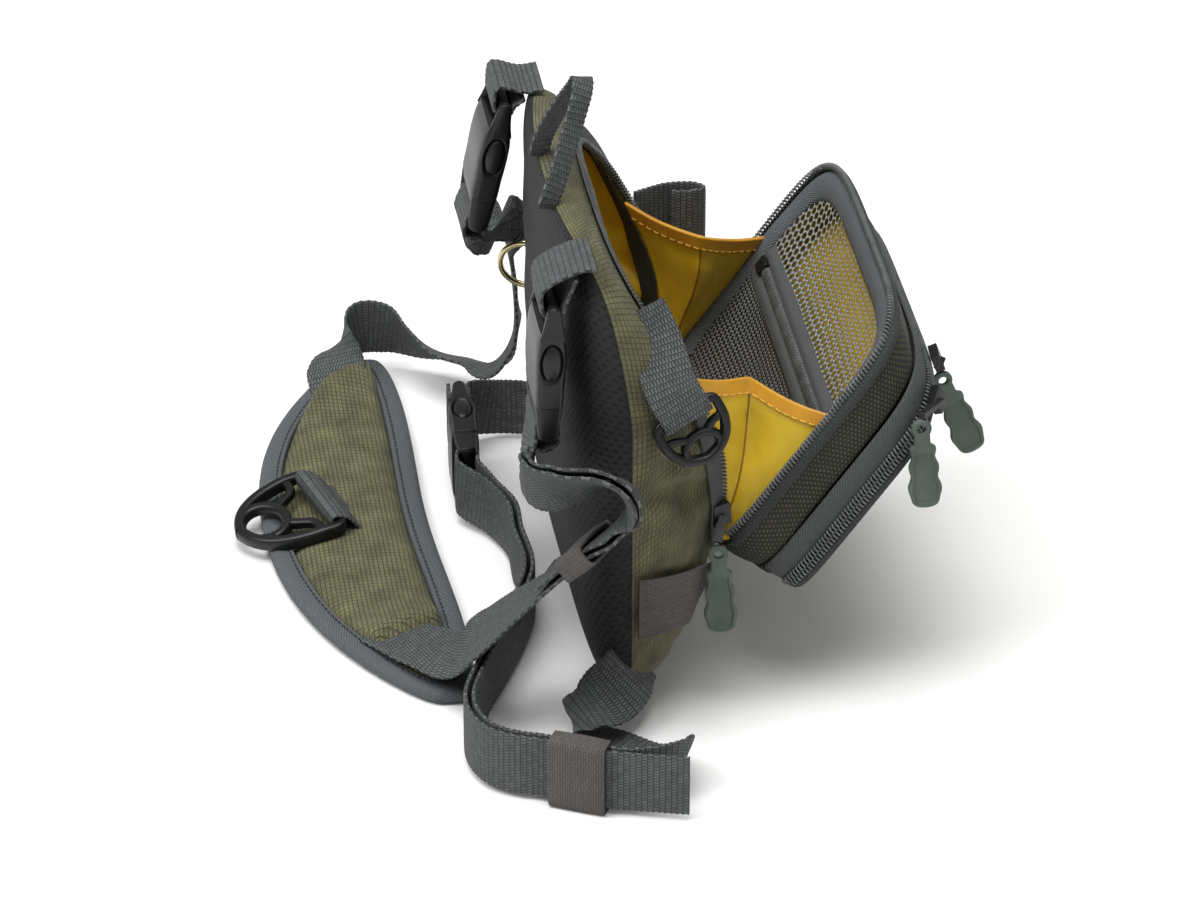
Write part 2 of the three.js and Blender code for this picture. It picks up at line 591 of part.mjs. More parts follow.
// Waist belt: on edge on the floor, from the far low corner through the buckle and back to the near low corner
const BELT_Z = FLOOR + 14.6;
const onEdge = (x, y, z = BELT_Z) => [x, y, z, ...zWay];
const BELT_FAR = [
  onEdge(95, -34, -84),
  onEdge(106, -33, -87),
  onEdge(119, -26),
  onEdge(129, -12),
  onEdge(132, 2),
];
place("belt_far", "webbing", webbing([...BELT_FAR, ...waist.socketTurn.toReversed()], { steps: 2 }));
const BELT_RUN = [
  // x, y of the layer that comes from the pack
  [52, 11],
  [34, 5],
  [14, 5],
  [-13, 4],
  [-37, 11],
  [-59, 20],
  [-84, 31],
  [-105, 38],
  [-118, 37.5],
  [-128, 33],
  [-134, 25],
  [-138, 15],
  [-145, 3],
  [-149.5, -8],
].map(([x, y]) => onEdge(x, y));
const BELT_BACK = [
  // x, y, z, width direction
  [-151.5, -18, BELT_Z, 0, 0, 1],
  [-147.5, -29, BELT_Z, 0.1, -0.1, 1],
  [-139, -30.5, -93.5, 0.4, -0.6, 0.6],
  [-128, -25, -100.4, 0.5, -0.86, 0.1],
  [-115, -18, -101.6, 0.5, -0.86, 0],
  [-104, -12, -101.2, 0.55, -0.83, 0.1],
  [-97, -8.5, -96.5, 0.55, -0.75, 0.35],
  [-94, -5, -92.5, 0.5, -0.6, 0.6],
  [-96, -4, -88, 0.25, -0.3, 0.9],
  [-99, -7.5, -86.5, 0, -0.2, 0.98],
  [-99.5, -14, -86.5, 0, -0.2, 0.98],
  [-98, -22, -86, 0, -0.2, 0.98],
];
const BELT_END = onEdge(-160.5, -35);
const beltTail = [...beside(BELT_RUN, TAIL_SPACE), BELT_END];
const beltNear = [...beltTail.toReversed(), ...waist.plugTurn, ...BELT_RUN, ...BELT_BACK];
place("belt_near", "webbing", webbing(beltNear, { steps: 2 }));
place("keeper_belt", "elastic", keeper(BELT_RUN, 12, 22, TAIL_SPACE / 2));

// Neck pad: a flat padded crescent on the floor with a bound rim
function padMiddle(u) {
  const y = NECK_PAD_AT.y - NECK_PAD.bow * u * u + NECK_PAD.skew * u;
  return vec(NECK_PAD_AT.x + (u * NECK_PAD.length) / 2, y, FLOOR + GAP);
}
function padEdge(angle, inset) {
  const u = power(Math.cos(angle), 4) * (1 - (2 * inset) / NECK_PAD.length);
  const half = NECK_PAD.halfWidth * (1 - NECK_PAD.taper * Math.abs(u) ** 2.6) - inset;
  const v = power(Math.sin(angle), 4);
  return padMiddle(u).add(vec(0, half * v, 0));
}
const PAD_COLUMNS = around(40);
const padRing = (inset, height) => PAD_COLUMNS.map((a) => padEdge(a, inset).add(vec(0, 0, height)));
function padSpine(share, inset, height) {
  const rim = padRing(inset, height);
  return rim.map((p) => {
    const u = (p.x - NECK_PAD_AT.x) / (NECK_PAD.length / 2);
    return padMiddle(u * 0.94).setZ(p.z).lerp(p, share);
  });
}
const padIn = NECK_PAD.rim + GAP;
const padTop = [
  padSpine(0, padIn, NECK_PAD.thick),
  padSpine(0.6, padIn, NECK_PAD.thick - 0.3),
  padRing(padIn, 5.4),
];
const padBase = [padSpine(0, padIn, 0), padSpine(0.6, padIn, 0), padRing(padIn, 0.3)];
place("neck_pad", "ripstop", wall(padTop, padBase, { firstRim: false }));
const rimTop = [padRing(NECK_PAD.rim, NECK_PAD.rimThick), padRing(0.8, NECK_PAD.rimThick), padRing(0, 3.6)];
const rimBase = [padRing(NECK_PAD.rim, 0), padRing(0.8, 0), padRing(0, 1)];
place("neck_pad_binding", "binding", wall(rimTop, rimBase));

// Plastic rings: a flat bow with windows and a straight bar that hangs in a turn of webbing
function bowRing(half, reach, barDeep, slot) {
  const shape = new THREE.Shape();
  shape.moveTo(-half, -barDeep);
  shape.lineTo(half, -barDeep);
  shape.lineTo(half, slot + 2);
  shape.quadraticCurveTo(half * 0.9, reach * 0.95, 0, reach);
  shape.quadraticCurveTo(-half * 0.9, reach * 0.95, -half, slot + 2);
  shape.closePath();
  const inner = half - 3;
  shape.holes.push(rectangle(new THREE.Path(), -inner, inner, 0, slot));
  const bow = new THREE.Path();
  bow.absellipse(0, reach * 0.68, half * 0.42, reach * 0.2, 0, 2 * Math.PI);
  shape.holes.push(bow);
  for (const side of [-1, 1]) {
    const window = new THREE.Path();
    window.moveTo(side * half * 0.18, slot + 2.2);
    window.lineTo(side * half * 0.74, slot + 2.8);
    window.lineTo(side * half * 0.56, reach * 0.58);
    window.closePath();
    shape.holes.push(window);
  }
  return shape;
}
function ringTurn(frame, barDeep, level, run) {
  const way = vec(1, 0, 0).transformDirection(frame).toArray();
  const rows = [
    // reach along the ring from its bar, share of the level off its plane
    [-barDeep - run, 0.55],
    [-barDeep - 1, 1],
    [0.7, 0.88],
    [2, 0],
    [0.7, -0.88],
    [-barDeep - 1, -1],
    [-barDeep - run, -0.55],
  ];
  return rows.map(([reach, share]) => [...vec(0, reach, share * level).applyMatrix4(frame).toArray(), ...way]);
}

// Ring on the neck pad, lying over its outer edge
const NECK_RING = { half: 22.5, reach: 37, bar: 4, slot: 4.8, thick: 4 };
const neckRingFrame = frameOf(vec(66, 80, -89), vec(-0.93, -0.3, -0.05), vec(-0.27, 0.94, -0.2));
const neckRingShape = bowRing(NECK_RING.half, NECK_RING.reach, NECK_RING.bar, NECK_RING.slot);
place("neck_ring", "acetal", plate(neckRingShape, NECK_RING.thick, neckRingFrame));
const neckLoop = ringTurn(neckRingFrame, NECK_RING.bar, 4, 14);
const padFace = FLOOR + GAP + NECK_PAD.thick;
neckLoop[0][2] = padFace + 1.7;
neckLoop[neckLoop.length - 1][2] = padFace + 3.7;
place("neck_ring_loop", "webbing", webbing(neckLoop, { width: 37, steps: 2 }));

// Near side: a webbing tab with its ring, and an elastic loop across the panel
function panelPoint(side, height, share, lift) {
  const first = side < 0 ? 0.55 : 0.45;
  const turns = between(0, 0.9, 200).map((t) => Math.PI * (first - side * t));
  const angle = turns.reduce((best, a) =>
    Math.abs(shellPoint(a, share).z - height) < Math.abs(shellPoint(best, share).z - height) ? a : best,
  );
  const point = shellPoint(angle, share);
  const along = shellPoint(angle, share + 0.02).sub(shellPoint(angle, share - 0.02));
  const about = shellPoint(angle + 0.02, share).sub(shellPoint(angle - 0.02, share));
  const normal = along.cross(about).normalize();
  if (normal.x * side < 0) normal.negate();
  return point.addScaledVector(normal, lift);
}
const SIDE_RING = { half: 14.5, reach: 21, bar: 3.4, slot: 4.4, thick: 3.4 };
const sideRingFrame = frameOf(vec(-93, -43, 29), vec(0.2, -0.85, 0.4), vec(-0.12, -0.35, -0.93));
const sideRingShape = bowRing(SIDE_RING.half, SIDE_RING.reach, SIDE_RING.bar, SIDE_RING.slot);
place("side_ring", "acetal", plate(sideRingShape, SIDE_RING.thick, sideRingFrame));
const sideTurn = ringTurn(sideRingFrame, SIDE_RING.bar, 3.6, 9);
const sideSewn = [66, 57].map((height) => [
  ...panelPoint(-1, height, 0.68, 1.5).toArray(),
  ...panelPoint(-1, height, 0.5, 1.5).sub(panelPoint(-1, height, 0.85, 1.5)).negate().toArray(),
]);
place("side_tab_near", "webbing", webbing([...sideSewn, ...sideTurn.toReversed()], { width: 20, steps: 2 }));
const ELASTIC_Z = -52;
const elasticRows = [0.06, 0.2, 0.4, 0.6, 0.76].map((share) => [
  ...panelPoint(-1, ELASTIC_Z, share, 1.6).toArray(),
  ...panelPoint(-1, ELASTIC_Z + 8, share, 1.6).sub(panelPoint(-1, ELASTIC_Z - 8, share, 1.6)).toArray(),
]);
place("keeper_side", "elastic", webbing(elasticRows, { steps: 4, thick: 1.4 }));

// Far side: a webbing tab that stands out forward, and a small metal ring in a narrow tab
const farTab = [
  // x, y, z, width direction
  [...panelPoint(1, 21, 0.86, 3).setZ(20).toArray(), 0, 0, 1],
  [88, -63, 20, 0, 0, 1],
  [87, -74, 20, 0, 0, 1],
  [83, -77, 20, 0, 0, 1],
  [80.5, -71, 20, 0, 0, 1],
  [81.5, -64, 20, 0, 0, 1],
];
place("side_tab_far", "webbing", webbing(farTab, { steps: 2 }));
const METAL_RING = { radius: 10.3, wire: 1.25 };
const ringMiddle = vec(99.7, -8, -6);
const ringEast = vec(-0.32, -0.84, 0.45).normalize();
const ringNorth = vec(0, 0.47, 0.88).addScaledVector(ringEast, -vec(0, 0.47, 0.88).dot(ringEast)).normalize();
const ringAxis = ringEast.clone().cross(ringNorth);
const ringRings = around(18).map((a) => {
  const out = ringEast.clone().multiplyScalar(Math.cos(a)).addScaledVector(ringNorth, Math.sin(a));
  return around(5).map((b) =>
    ringMiddle
      .clone()
      .addScaledVector(out, METAL_RING.radius + METAL_RING.wire * Math.cos(b))
      .addScaledVector(ringAxis, METAL_RING.wire * Math.sin(b)),
  );
});
place("metal_ring", "brass", tube(ringRings, true));
const wireSpot = ringMiddle.clone().addScaledVector(ringEast, METAL_RING.radius);
const wireTab = [
  // outward from the wire, off the ring's plane
  [8, 1.1],
  [1, 2.5],
  [-2.8, 1.9],
  [-3.7, 0],
  [-2.8, -1.9],
  [1, -2.5],
  [8, -1.1],
].map(([out, off]) => {
  const spot = wireSpot.clone().addScaledVector(ringEast, out).addScaledVector(ringAxis, off);
  return [...spot.toArray(), ...ringNorth.toArray()];
});
place("metal_ring_tab", "webbing", webbing(wireTab, { width: 8, thick: 1.2, steps: 2 }));

// Zip sliders with soft pulls
const PULL = { long: 38, eyeLong: 11, eyeHalf: 3.2, half: 4.3, flare: 2.4, wave: 0.35, thick: 3.2 };
const PULL_EYE = { hole: 1.6, crown: 4 };
const pullShape = new THREE.Shape();
function pullHalf(along) {
  if (along < PULL.eyeLong) return PULL.eyeHalf;
  const share = (along - PULL.eyeLong) / (PULL.long - PULL.eyeLong);
  return PULL.half + PULL.flare * share + PULL.wave * Math.cos(6 * Math.PI * share);
}
const pullFoot = PULL.long - PULL.half - PULL.flare;
const pullSteps = [PULL.eyeLong - 0.01, ...between(PULL.eyeLong, pullFoot, 7)];
pullShape.moveTo(-PULL.eyeHalf, PULL_EYE.crown - 1);
for (const along of pullSteps) pullShape.lineTo(-pullHalf(along), PULL_EYE.crown - along);
pullShape.absarc(0, PULL_EYE.crown - pullFoot, pullHalf(pullFoot), Math.PI, 2 * Math.PI);
for (const along of pullSteps.toReversed()) pullShape.lineTo(pullHalf(along), PULL_EYE.crown - along);
pullShape.lineTo(PULL.eyeHalf, PULL_EYE.crown - 1);
pullShape.quadraticCurveTo(0, PULL_EYE.crown + 0.9, -PULL.eyeHalf, PULL_EYE.crown - 1);
const pullEye = new THREE.Path();
pullEye.absarc(0, 0, PULL_EYE.hole, 0, 2 * Math.PI);
pullShape.holes.push(pullEye);
const towardViewer = vec(-0.86, 0.12, 0.5);
function slider(name, seat, outward, travel, eye, hang, slack) {
  const frame = frameOf(seat, travel, outward);
  const down = hang.clone().normalize();
  const across = down.clone().cross(towardViewer).normalize();
  place("pull_" + name, "rubber", plate(pullShape, PULL.thick, frameOf(eye, across, down.clone().negate())));
  const start = seat.clone().addScaledVector(outward.clone().normalize(), 4);
  const end = eye.clone().addScaledVector(down, -PULL_EYE.crown - slack);
  const link = frameOf(start, end.clone().sub(start), across);
  const linkBox = box(0, end.distanceTo(start), -1.6, 1.6, -1, 1, link);
  place("slider_" + name, "acetal", joined(box(-4.5, 4.5, 0, 3.6, -3.5, 3.5, frame), linkBox));
}
function pocketSeat(angle) {
  const edge = onFlap(...flapEdge(angle, POCKET_ZIP_DEPTH, -0.6), POCKET_ZIP_DEPTH);
  return edge.addScaledVector(flapOutward(angle), ZIP_BAR.thick + 2 * GAP);
}
const POCKET_SLIDERS = {
  // place round the pocket zip in degrees, eye of the pull, way it hangs, slack of the link
  pocket_a: [105, vec(-51, -147.4, 13), vec(0, -0.39, -0.92), 1.4],
  pocket_b: [135, vec(-84.5, -133, 12), vec(0, -0.08, -1), 1.5],
};
for (const [name, [degrees, eye, hang, slack]] of Object.entries(POCKET_SLIDERS)) {
  const angle = THREE.MathUtils.degToRad(degrees);
  const travel = pocketSeat(angle + 0.05).sub(pocketSeat(angle - 0.05));
  slider(name, pocketSeat(angle), flapOutward(angle), travel, eye, hang, slack);
}
const mouthSeat = vec(-77.3, -58, -22);
slider("mouth", mouthSeat, vec(-1, -0.4, 0), vec(0, 0.1, 1), vec(-88, -56.5, -34), vec(0, -0.05, -1), 1);
const innerSlider = frameOf(onFlap(60, INNER_ZIP_AT, 0.9), vec(1, 0, 0), flapUp);
place("slider_inner", "acetal", box(-4, 4, -3, 3, -2.6, 0, innerSlider));
export default pack;
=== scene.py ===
import math
import bpy
import numpy as np
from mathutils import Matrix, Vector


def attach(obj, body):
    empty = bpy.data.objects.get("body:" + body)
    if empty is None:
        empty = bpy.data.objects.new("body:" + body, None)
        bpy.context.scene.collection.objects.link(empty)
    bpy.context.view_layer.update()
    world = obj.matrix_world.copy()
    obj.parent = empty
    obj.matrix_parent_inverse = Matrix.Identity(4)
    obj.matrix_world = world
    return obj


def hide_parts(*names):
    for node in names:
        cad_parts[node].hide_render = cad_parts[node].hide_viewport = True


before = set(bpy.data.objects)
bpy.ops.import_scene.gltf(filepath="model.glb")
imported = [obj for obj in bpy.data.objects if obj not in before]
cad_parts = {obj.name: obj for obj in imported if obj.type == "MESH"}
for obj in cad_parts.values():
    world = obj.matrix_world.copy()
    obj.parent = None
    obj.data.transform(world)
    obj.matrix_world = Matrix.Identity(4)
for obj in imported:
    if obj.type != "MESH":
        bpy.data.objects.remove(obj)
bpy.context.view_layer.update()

# Studio: a pale floor that the pack stands on, soft light from above and from behind the back, and a camera
# that looks down at the near side of the open pack.
MM = 0.001
FLOOR = -103.0
FLOOR_DROP = 0.3
FLOOR_REACH = 3000.0
CAMERA_TURN = math.radians(-97.884)
CAMERA_RISE = math.radians(29.678)
CAMERA_REACH = 2127.3
CAMERA_AIM = np.array([0.0, -24.09, -36.45])
CAMERA_LENS = 165.0
CAMERA_SENSOR = 36.0
SKY_LIGHT = 0.32
LAMPS = {
    # place, width, watts
    "top": ((-150, 100, 2200), 1600, 52),
    "key": ((-400, 1300, 1600), 1000, 22),
    "fill": ((-1800, -900, 900), 1200, 3),
}


def linear(code):
    """sRGB hex code to linear colour: value / 12.92 up to 0.04045, and the 2.4 power curve above it."""
    value = np.array([int(code[i:i + 2], 16) for i in (1, 3, 5)]) / 255
    light = np.where(value <= 0.04045, value / 12.92, ((value + 0.055) / 1.055) ** 2.4)
    return (*light.tolist(), 1.0)


def material(name, roughness, sockets=()):
    """New material with its Principled shader; sockets are the shader's constant values."""
    made = bpy.data.materials.new(name)
    made.use_nodes = True
    shader = made.node_tree.nodes["Principled BSDF"]
    shader.inputs["Roughness"].default_value = roughness
    for socket, value in dict(sockets).items():
        shader.inputs[socket].default_value = value
    return made, made.node_tree, shader


def placed(name, data):
    """New object in the scene, at the origin."""
    made = bpy.data.objects.new(name, data)
    bpy.context.scene.collection.objects.link(made)
    return made


def built(name, points, faces):
    """Smooth-shaded object at the origin from points in mm and faces."""
    mesh = bpy.data.meshes.new(name)
    mesh.from_pydata((points * MM).tolist(), [], faces)
    mesh.polygons.foreach_set("use_smooth", np.ones(len(mesh.polygons), bool))
    mesh.update()
    return placed(name, mesh)


def studio():
    """Floor, lamps turned to the pack, sky light and camera. The camera stands back from its aim by its reach
    along (sin turn cos rise, -cos turn cos rise, sin rise)."""
    corners = np.array([(-1, -1, 0), (1, -1, 0), (1, 1, 0), (-1, 1, 0)]) * FLOOR_REACH
    floor = built("floor", corners + np.array([0, 0, FLOOR - FLOOR_DROP]), [[0, 1, 2, 3]])
    floor.data.materials.append(material("matt paper", 0.9, {"Base Color": linear("#f4f4f3")})[0])
    for name, (place, wide, watts) in LAMPS.items():
        data = bpy.data.lights.new(name, "AREA")
        data.size = wide * MM
        data.energy = watts
        lamp = placed(name, data)
        lamp.location = np.array(place) * MM
        lamp.rotation_euler = lamp.location.to_track_quat("Z", "Y").to_euler()
    world = bpy.data.worlds.new("studio")
    bpy.context.scene.world = world
    world.use_nodes = True
    sky = world.node_tree.nodes["Background"]
    sky.inputs["Color"].default_value = (1, 1, 1, 1)
    sky.inputs["Strength"].default_value = SKY_LIGHT
    bpy.context.scene.view_settings.view_transform = "Standard"
    level = math.cos(CAMERA_RISE)
    back = np.array([math.sin(CAMERA_TURN) * level, -math.cos(CAMERA_TURN) * level, math.sin(CAMERA_RISE)])
    data = bpy.data.cameras.new("camera")
    data.lens = CAMERA_LENS
    data.sensor_width = CAMERA_SENSOR
    data.clip_start = 0.1
    data.clip_end = 50
    camera = placed("camera", data)
    camera.location = (CAMERA_AIM + back * CAMERA_REACH) * MM
    camera.rotation_euler = Vector(back).to_track_quat("Z", "Y").to_euler()
    bpy.context.scene.camera = camera


studio()

# Padded back: a cushion of black spacer mesh over foam. Its rim is sewn to the olive panels all round,
# and its inner face is covered with the yellow lining.
BACK_HALF = 92.0
BACK_HIGH = 87.0
BACK_LOW = 103.0
BACK_TOP = 7.0
BACK_BOTTOM = 8.0
BACK_OVAL = (BACK_HALF, BACK_HIGH, BACK_LOW, BACK_TOP, BACK_BOTTOM)
SEAM_SIDE_Y = -24.0
CLIMB_FROM = 20.0
CLIMB = 12.0
ARCH_FROM = 60.0
ARCH = 10.0
REAR_BOW = 2.5
REAR_TUCK = 10.0
PAD_THICK = 12.0
PAD_DOME = 3.4
PAD_INNER = 0.955
PAD_ROWS = 46
QUILT_DEEP = 0.35
QUILT_PITCH = 5.2
MESH_CELL = (3.7, 2.6)
COLUMNS = 280


def volume(points, quads):
    """Six times the volume inside quads, about the middle of their points."""
    a, b, c, d = (points[quads[:, k]] - points.mean(0) for k in range(4))
    return (np.cross(a, b) * c).sum() + (np.cross(a, c) * d).sum()


def surface(name, points, uv=None, round_rows=False, round_columns=False, ends=False, flip=None):
    """Piece made of a grid of points in mm, rows by columns, with a quad in each cell.
    A round direction closes on itself, and ends close the first and last row. uv is in mm on the cloth, with
    one more column than round columns have. Faces turn outwards by the sign of the volume, unless flip is
    given for a sheet."""
    rows, columns = points.shape[:2]
    index = np.arange(rows * columns).reshape(rows, columns)
    last_row = rows if round_rows else rows - 1
    last_column = columns if round_columns else columns - 1
    i, j = np.meshgrid(np.arange(last_row), np.arange(last_column), indexing="ij")
    corners = [(i, j), (i, j + 1), (i + 1, j + 1), (i + 1, j)]
    quads = np.stack([index[a % rows, b % columns] for a, b in corners], -1).reshape(-1, 4)
    if flip is None:
        flip = volume(points.reshape(-1, 3), quads) < 0
    faces = quads.tolist() + ([index[0][::-1].tolist(), index[-1].tolist()] if ends else [])
    made = built(name, points.reshape(-1, 3), [face[::-1] for face in faces] if flip else faces)
    if uv is not None:
        layer = made.data.uv_layers.new(name="cloth")
        flat = np.stack([uv[a % rows, b] for a, b in corners], -2).reshape(-1, 4, 2)
        flat = (flat[:, ::-1] if flip else flat).reshape(-1, 2)
        whole = np.zeros((len(made.data.loops), 2))
        whole[: len(flat)] = flat * MM
        layer.data.foreach_set("uv", whole.ravel())
    return made


def dress(piece, slot, finish, *nodes, body="pack", second=None):
    """Puts a finish on a piece, lets it ride on a body and stand for the CAD nodes. A pair of finishes has
    second, which says for each face whether it takes the second one."""
    for one in finish if isinstance(finish, list) else [finish]:
        piece.data.materials.append(one)
    if second is not None:
        piece.data.polygons.foreach_set("material_index", second.astype(np.int32))
    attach(piece, body)
    if nodes:
        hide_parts(*nodes)
    return piece


def squared(angle, half, high, low, top, bottom):
    """Squared-off oval: half sgn(c)|c|^(2/n), height sgn(s)|s|^(2/n), with n = top above and bottom below."""
    c, s = np.cos(angle), np.sin(angle)
    n = np.where(s >= 0, top, bottom)
    x = half * np.sign(c) * np.abs(c) ** (2 / n)
    z = np.where(s >= 0, high, low) * np.sign(s) * np.abs(s) ** (2 / n)
    return x, z


def even_turns(count, half, high, low, top, bottom):
    """Angles for squared() whose points lie at even bearings, r = (|cos/half|^n + |sin/height|^n)^(-1/n)."""
    bearing = np.arange(count) * 2 * np.pi / count
    c, s = np.cos(bearing), np.sin(bearing)
    height = np.where(s >= 0, high, low)
    n = np.where(s >= 0, top, bottom)
    r = (np.abs(c / half) ** n + np.abs(s / height) ** n) ** (-1 / n)
    across = np.sign(c) * np.abs(r * c / half) ** (n / 2)
    up = np.sign(s) * np.abs(r * s / height) ** (n / 2)
    return np.arctan2(up, across)


def seam(angle):
    """Rim of the back: the squared oval, set back at the sides and forward along the arched top."""
    x, z = squared(angle, *BACK_OVAL)
    climb = np.maximum(0, (z - CLIMB_FROM) / (BACK_HIGH - CLIMB_FROM)) ** 1.4
    arch = np.clip((z - ARCH_FROM) / (BACK_HIGH - ARCH_FROM), 0, 1) * (1 - (x / BACK_HALF) ** 2)
    return np.stack([x, SEAM_SIDE_Y + CLIMB * climb + ARCH * arch, z], -1)


def pad_face(share, depth, scale):
    """Dome between the rim and the rear face: y = rim + (rear - depth - rim)(1 - share^p)^(1/p)."""
    rim = seam(BACK_TURNS[None])
    x = rim[..., 0] * share * scale
    z = rim[..., 2] * share * scale
    rear = -REAR_BOW * (x / BACK_HALF) ** 2 - REAR_TUCK * np.maximum(0, -z / BACK_LOW) ** 2.5
    dome = np.maximum(0, 1 - share ** PAD_DOME) ** (1 / PAD_DOME)
    return np.stack([x, rim[..., 1] + (rear - depth - rim[..., 1]) * dome, z], -1)


def lengths(points, axis):
    """Running length along one direction of a grid of points."""
    step = np.linalg.norm(np.diff(points, axis=axis), axis=-1)
    start = np.zeros_like(np.take(step, [0], axis))
    return np.concatenate([start, np.cumsum(step, axis)], axis)


def wrapped(values):
    """A round grid with its first column repeated at the end."""
    return np.concatenate([values, values[:, :1]], 1)


def add(tree, kind, inputs=(), out=0, **settings):
    """Adds a shader node and gives one of its outputs, or the node itself where out is None. Settings are its
    own properties, inputs give sockets a value or an output to link."""
    made = tree.nodes.new("ShaderNode" + kind)
    for name, value in settings.items():
        setattr(made, name, value)
    for socket, value in dict(inputs).items():
        if isinstance(value, bpy.types.NodeSocket):
            tree.links.new(value, made.inputs[socket])
        else:
            made.inputs[socket].default_value = value
    return made if out is None else made.outputs[out]


def toned(tree, value, low, high, dark, light):
    """Colour that goes from a dark code to a light one as a value goes from low to high."""
    share = add(tree, "MapRange", {0: value, 1: low, 2: high})
    return add(tree, "Mix", {0: share, 6: linear(dark), 7: linear(light)}, 2, data_type="RGBA")


def finish_with(tree, shader, colour, height, strength, depth):
    """Links a colour and a bump of some depth in mm to the shader."""
    bump = add(tree, "Bump", {"Height": height, "Strength": strength, "Distance": depth * MM})
    tree.links.new(colour, shader.inputs["Base Color"])
    tree.links.new(bump, shader.inputs["Normal"])


def mottled(name, roughness, dark, light, cloud, grain, relief, sockets=()):
    """Finish that reads Object coordinates: a cloud of noise carries the tone from dark to light, and a finer
    grain is its relief. cloud is (size in mm, detail, noise for dark, noise for light), grain is (size in mm,
    detail) and relief is (strength, depth in mm)."""
    made, tree, shader = material(name, roughness, sockets)
    place = add(tree, "TexCoord", (), "Object")
    drift, fine = (
        add(tree, "TexNoise", {"Vector": place, "Scale": 1 / (size * MM), "Detail": detail})
        for size, detail in (cloud[:2], grain)
    )
    finish_with(tree, shader, toned(tree, drift, *cloud[2:], dark, light), fine, *relief)
    return made


def cloth_size(tree, turn=0.0):
    """The cloth map in mm, turned by an angle."""
    uv = add(tree, "UVMap", (), "UV", uv_map="cloth")
    return add(tree, "Mapping", {"Vector": uv, "Rotation": (0, 0, turn), "Scale": (1 / MM,) * 3})


def cells(tree, size, wide, high):
    """Field with a peak of 2 in the middle of each cell of a staggered pattern and -0.25 at the cells'
    corners: cos b (cos a + cos b), a = 2 pi x / wide, b = pi y / high."""
    waves = []
    for axis, turn in ((0, 2 * math.pi / wide), (1, math.pi / high)):
        place = add(tree, "SeparateXYZ", {0: size}, axis)
        angle = add(tree, "Math", {0: place, 1: turn}, operation="MULTIPLY")
        waves.append(add(tree, "Math", {0: angle}, operation="COSINE"))
    both = add(tree, "Math", {0: waves[0], 1: waves[1]}, operation="ADD")
    return add(tree, "Math", {0: both, 1: waves[1]}, operation="MULTIPLY")


def spacer_mesh():
    """Spacer mesh: black polyester knitted round small holes. Painted light and shade: the ribs are painted
    lighter, as a painted highlight, and the holes near-black, as painted shade inside them.
    """
    made, tree, shader = material("black spacer mesh", 0.8)
    size = cloth_size(tree)
    # Painted highlight and shade: this mask is light on the ribs round each cell and dark in the cell's
    # middle, the hole.
    rib = add(tree, "MapRange", {0: cells(tree, size, *MESH_CELL), 1: 1.15, 2: 0.35})
    fuzz = add(tree, "TexNoise", {"Vector": size, "Scale": 2.4, "Detail": 2.0})
    lit = add(tree, "Math", {0: rib, 1: fuzz}, operation="MULTIPLY")
    # The tones stay near-black: the mesh's black yarn, darkened further as painted self-shadow of its ribs.
    finish_with(tree, shader, toned(tree, lit, 0.05, 0.75, "#030303", "#222524"), lit, 0.9, 1.2)
    return made


def lining_nylon(name, dark, light):
    """Lining: thin coated nylon, plain woven, with a soft sheen and faint changes of tone."""
    cloud, grain = (18.18, 3.0, 0.3, 0.7), (1.111, 1.0)
    return mottled(name, 0.5, dark, light, cloud, grain, (0.3, 0.25), {"Sheen Weight": 0.08})


MESH_BLACK = spacer_mesh()
LINING = lining_nylon("yellow coated nylon", "#c3a017", "#d8b627")
BACK_TURNS = even_turns(COLUMNS, *BACK_OVAL)


def back_pad():
    """Rear dome, gently quilted across, and lined inner dome, joined along the rim. The cloth map unrolls
    each from its middle."""
    share = 1 - (1 - np.linspace(0, 1, PAD_ROWS)[:, None]) ** 2.2
    rear = pad_face(share, 0.0, 1.0)
    flat = np.linalg.norm(rear[..., [0, 2]], axis=-1) + 1e-6
    ratio = lengths(rear, 0) / flat
    rear[..., 1] += QUILT_DEEP * np.sin(rear[..., 2] / QUILT_PITCH) * (1 - share ** 6)
    front = pad_face(share, PAD_THICK, PAD_INNER)[::-1]
    points = np.concatenate([rear, front])
    uv = np.concatenate([rear[..., [0, 2]] * ratio[..., None], front[..., [0, 2]]])
    piece = surface("back_pad_mesh", points, wrapped(uv), round_columns=True)
    rows = np.repeat(np.arange(len(points) - 1), COLUMNS)
    dress(piece, "mesh_black", [MESH_BLACK, LINING], "back_pad", second=rows >= len(rear))


back_pad()

# Rear shell: olive ripstop panels from the back seam to the zipped mouth, creased across the sides, with the
# yellow lining inside. Below the mouth it closes as a tub.
MOUTH_HALF = 76.0
MOUTH_LOW = -45.0
MOUTH_HIGH = 77.5
MOUTH_TALL = (MOUTH_HIGH - MOUTH_LOW) / 2
MOUTH_TOP = 3.8
MOUTH_BOTTOM = 7.0
BULGE = 5.0
LOW_BULGE = 6.0
CLOTH = 2.0
SHELL_ROWS = 60
MAP_ROW = 20
SLACK_Z = -18.0
SLACK_SPREAD = 30.0
GROOVE_SHARE = 0.48
GROOVE_WIDE = 1.4 / 30
GROOVE_TOP = -58.0
GROOVE_DEEP = 0.9
RIPSTOP_CELL = 2.3
MOUTH_PROFILE = np.array([
    # height, y
    (-45, -58),
    (0, -57.4),
    (45, -39.2),
    (77.5, -19.1),
])
SIDE_DENTS = np.array([
    # height, depth, spread
    (34, 1.6, 9),
    (-6, 3.2, 7),
    (-27, 2.4, 6),
])


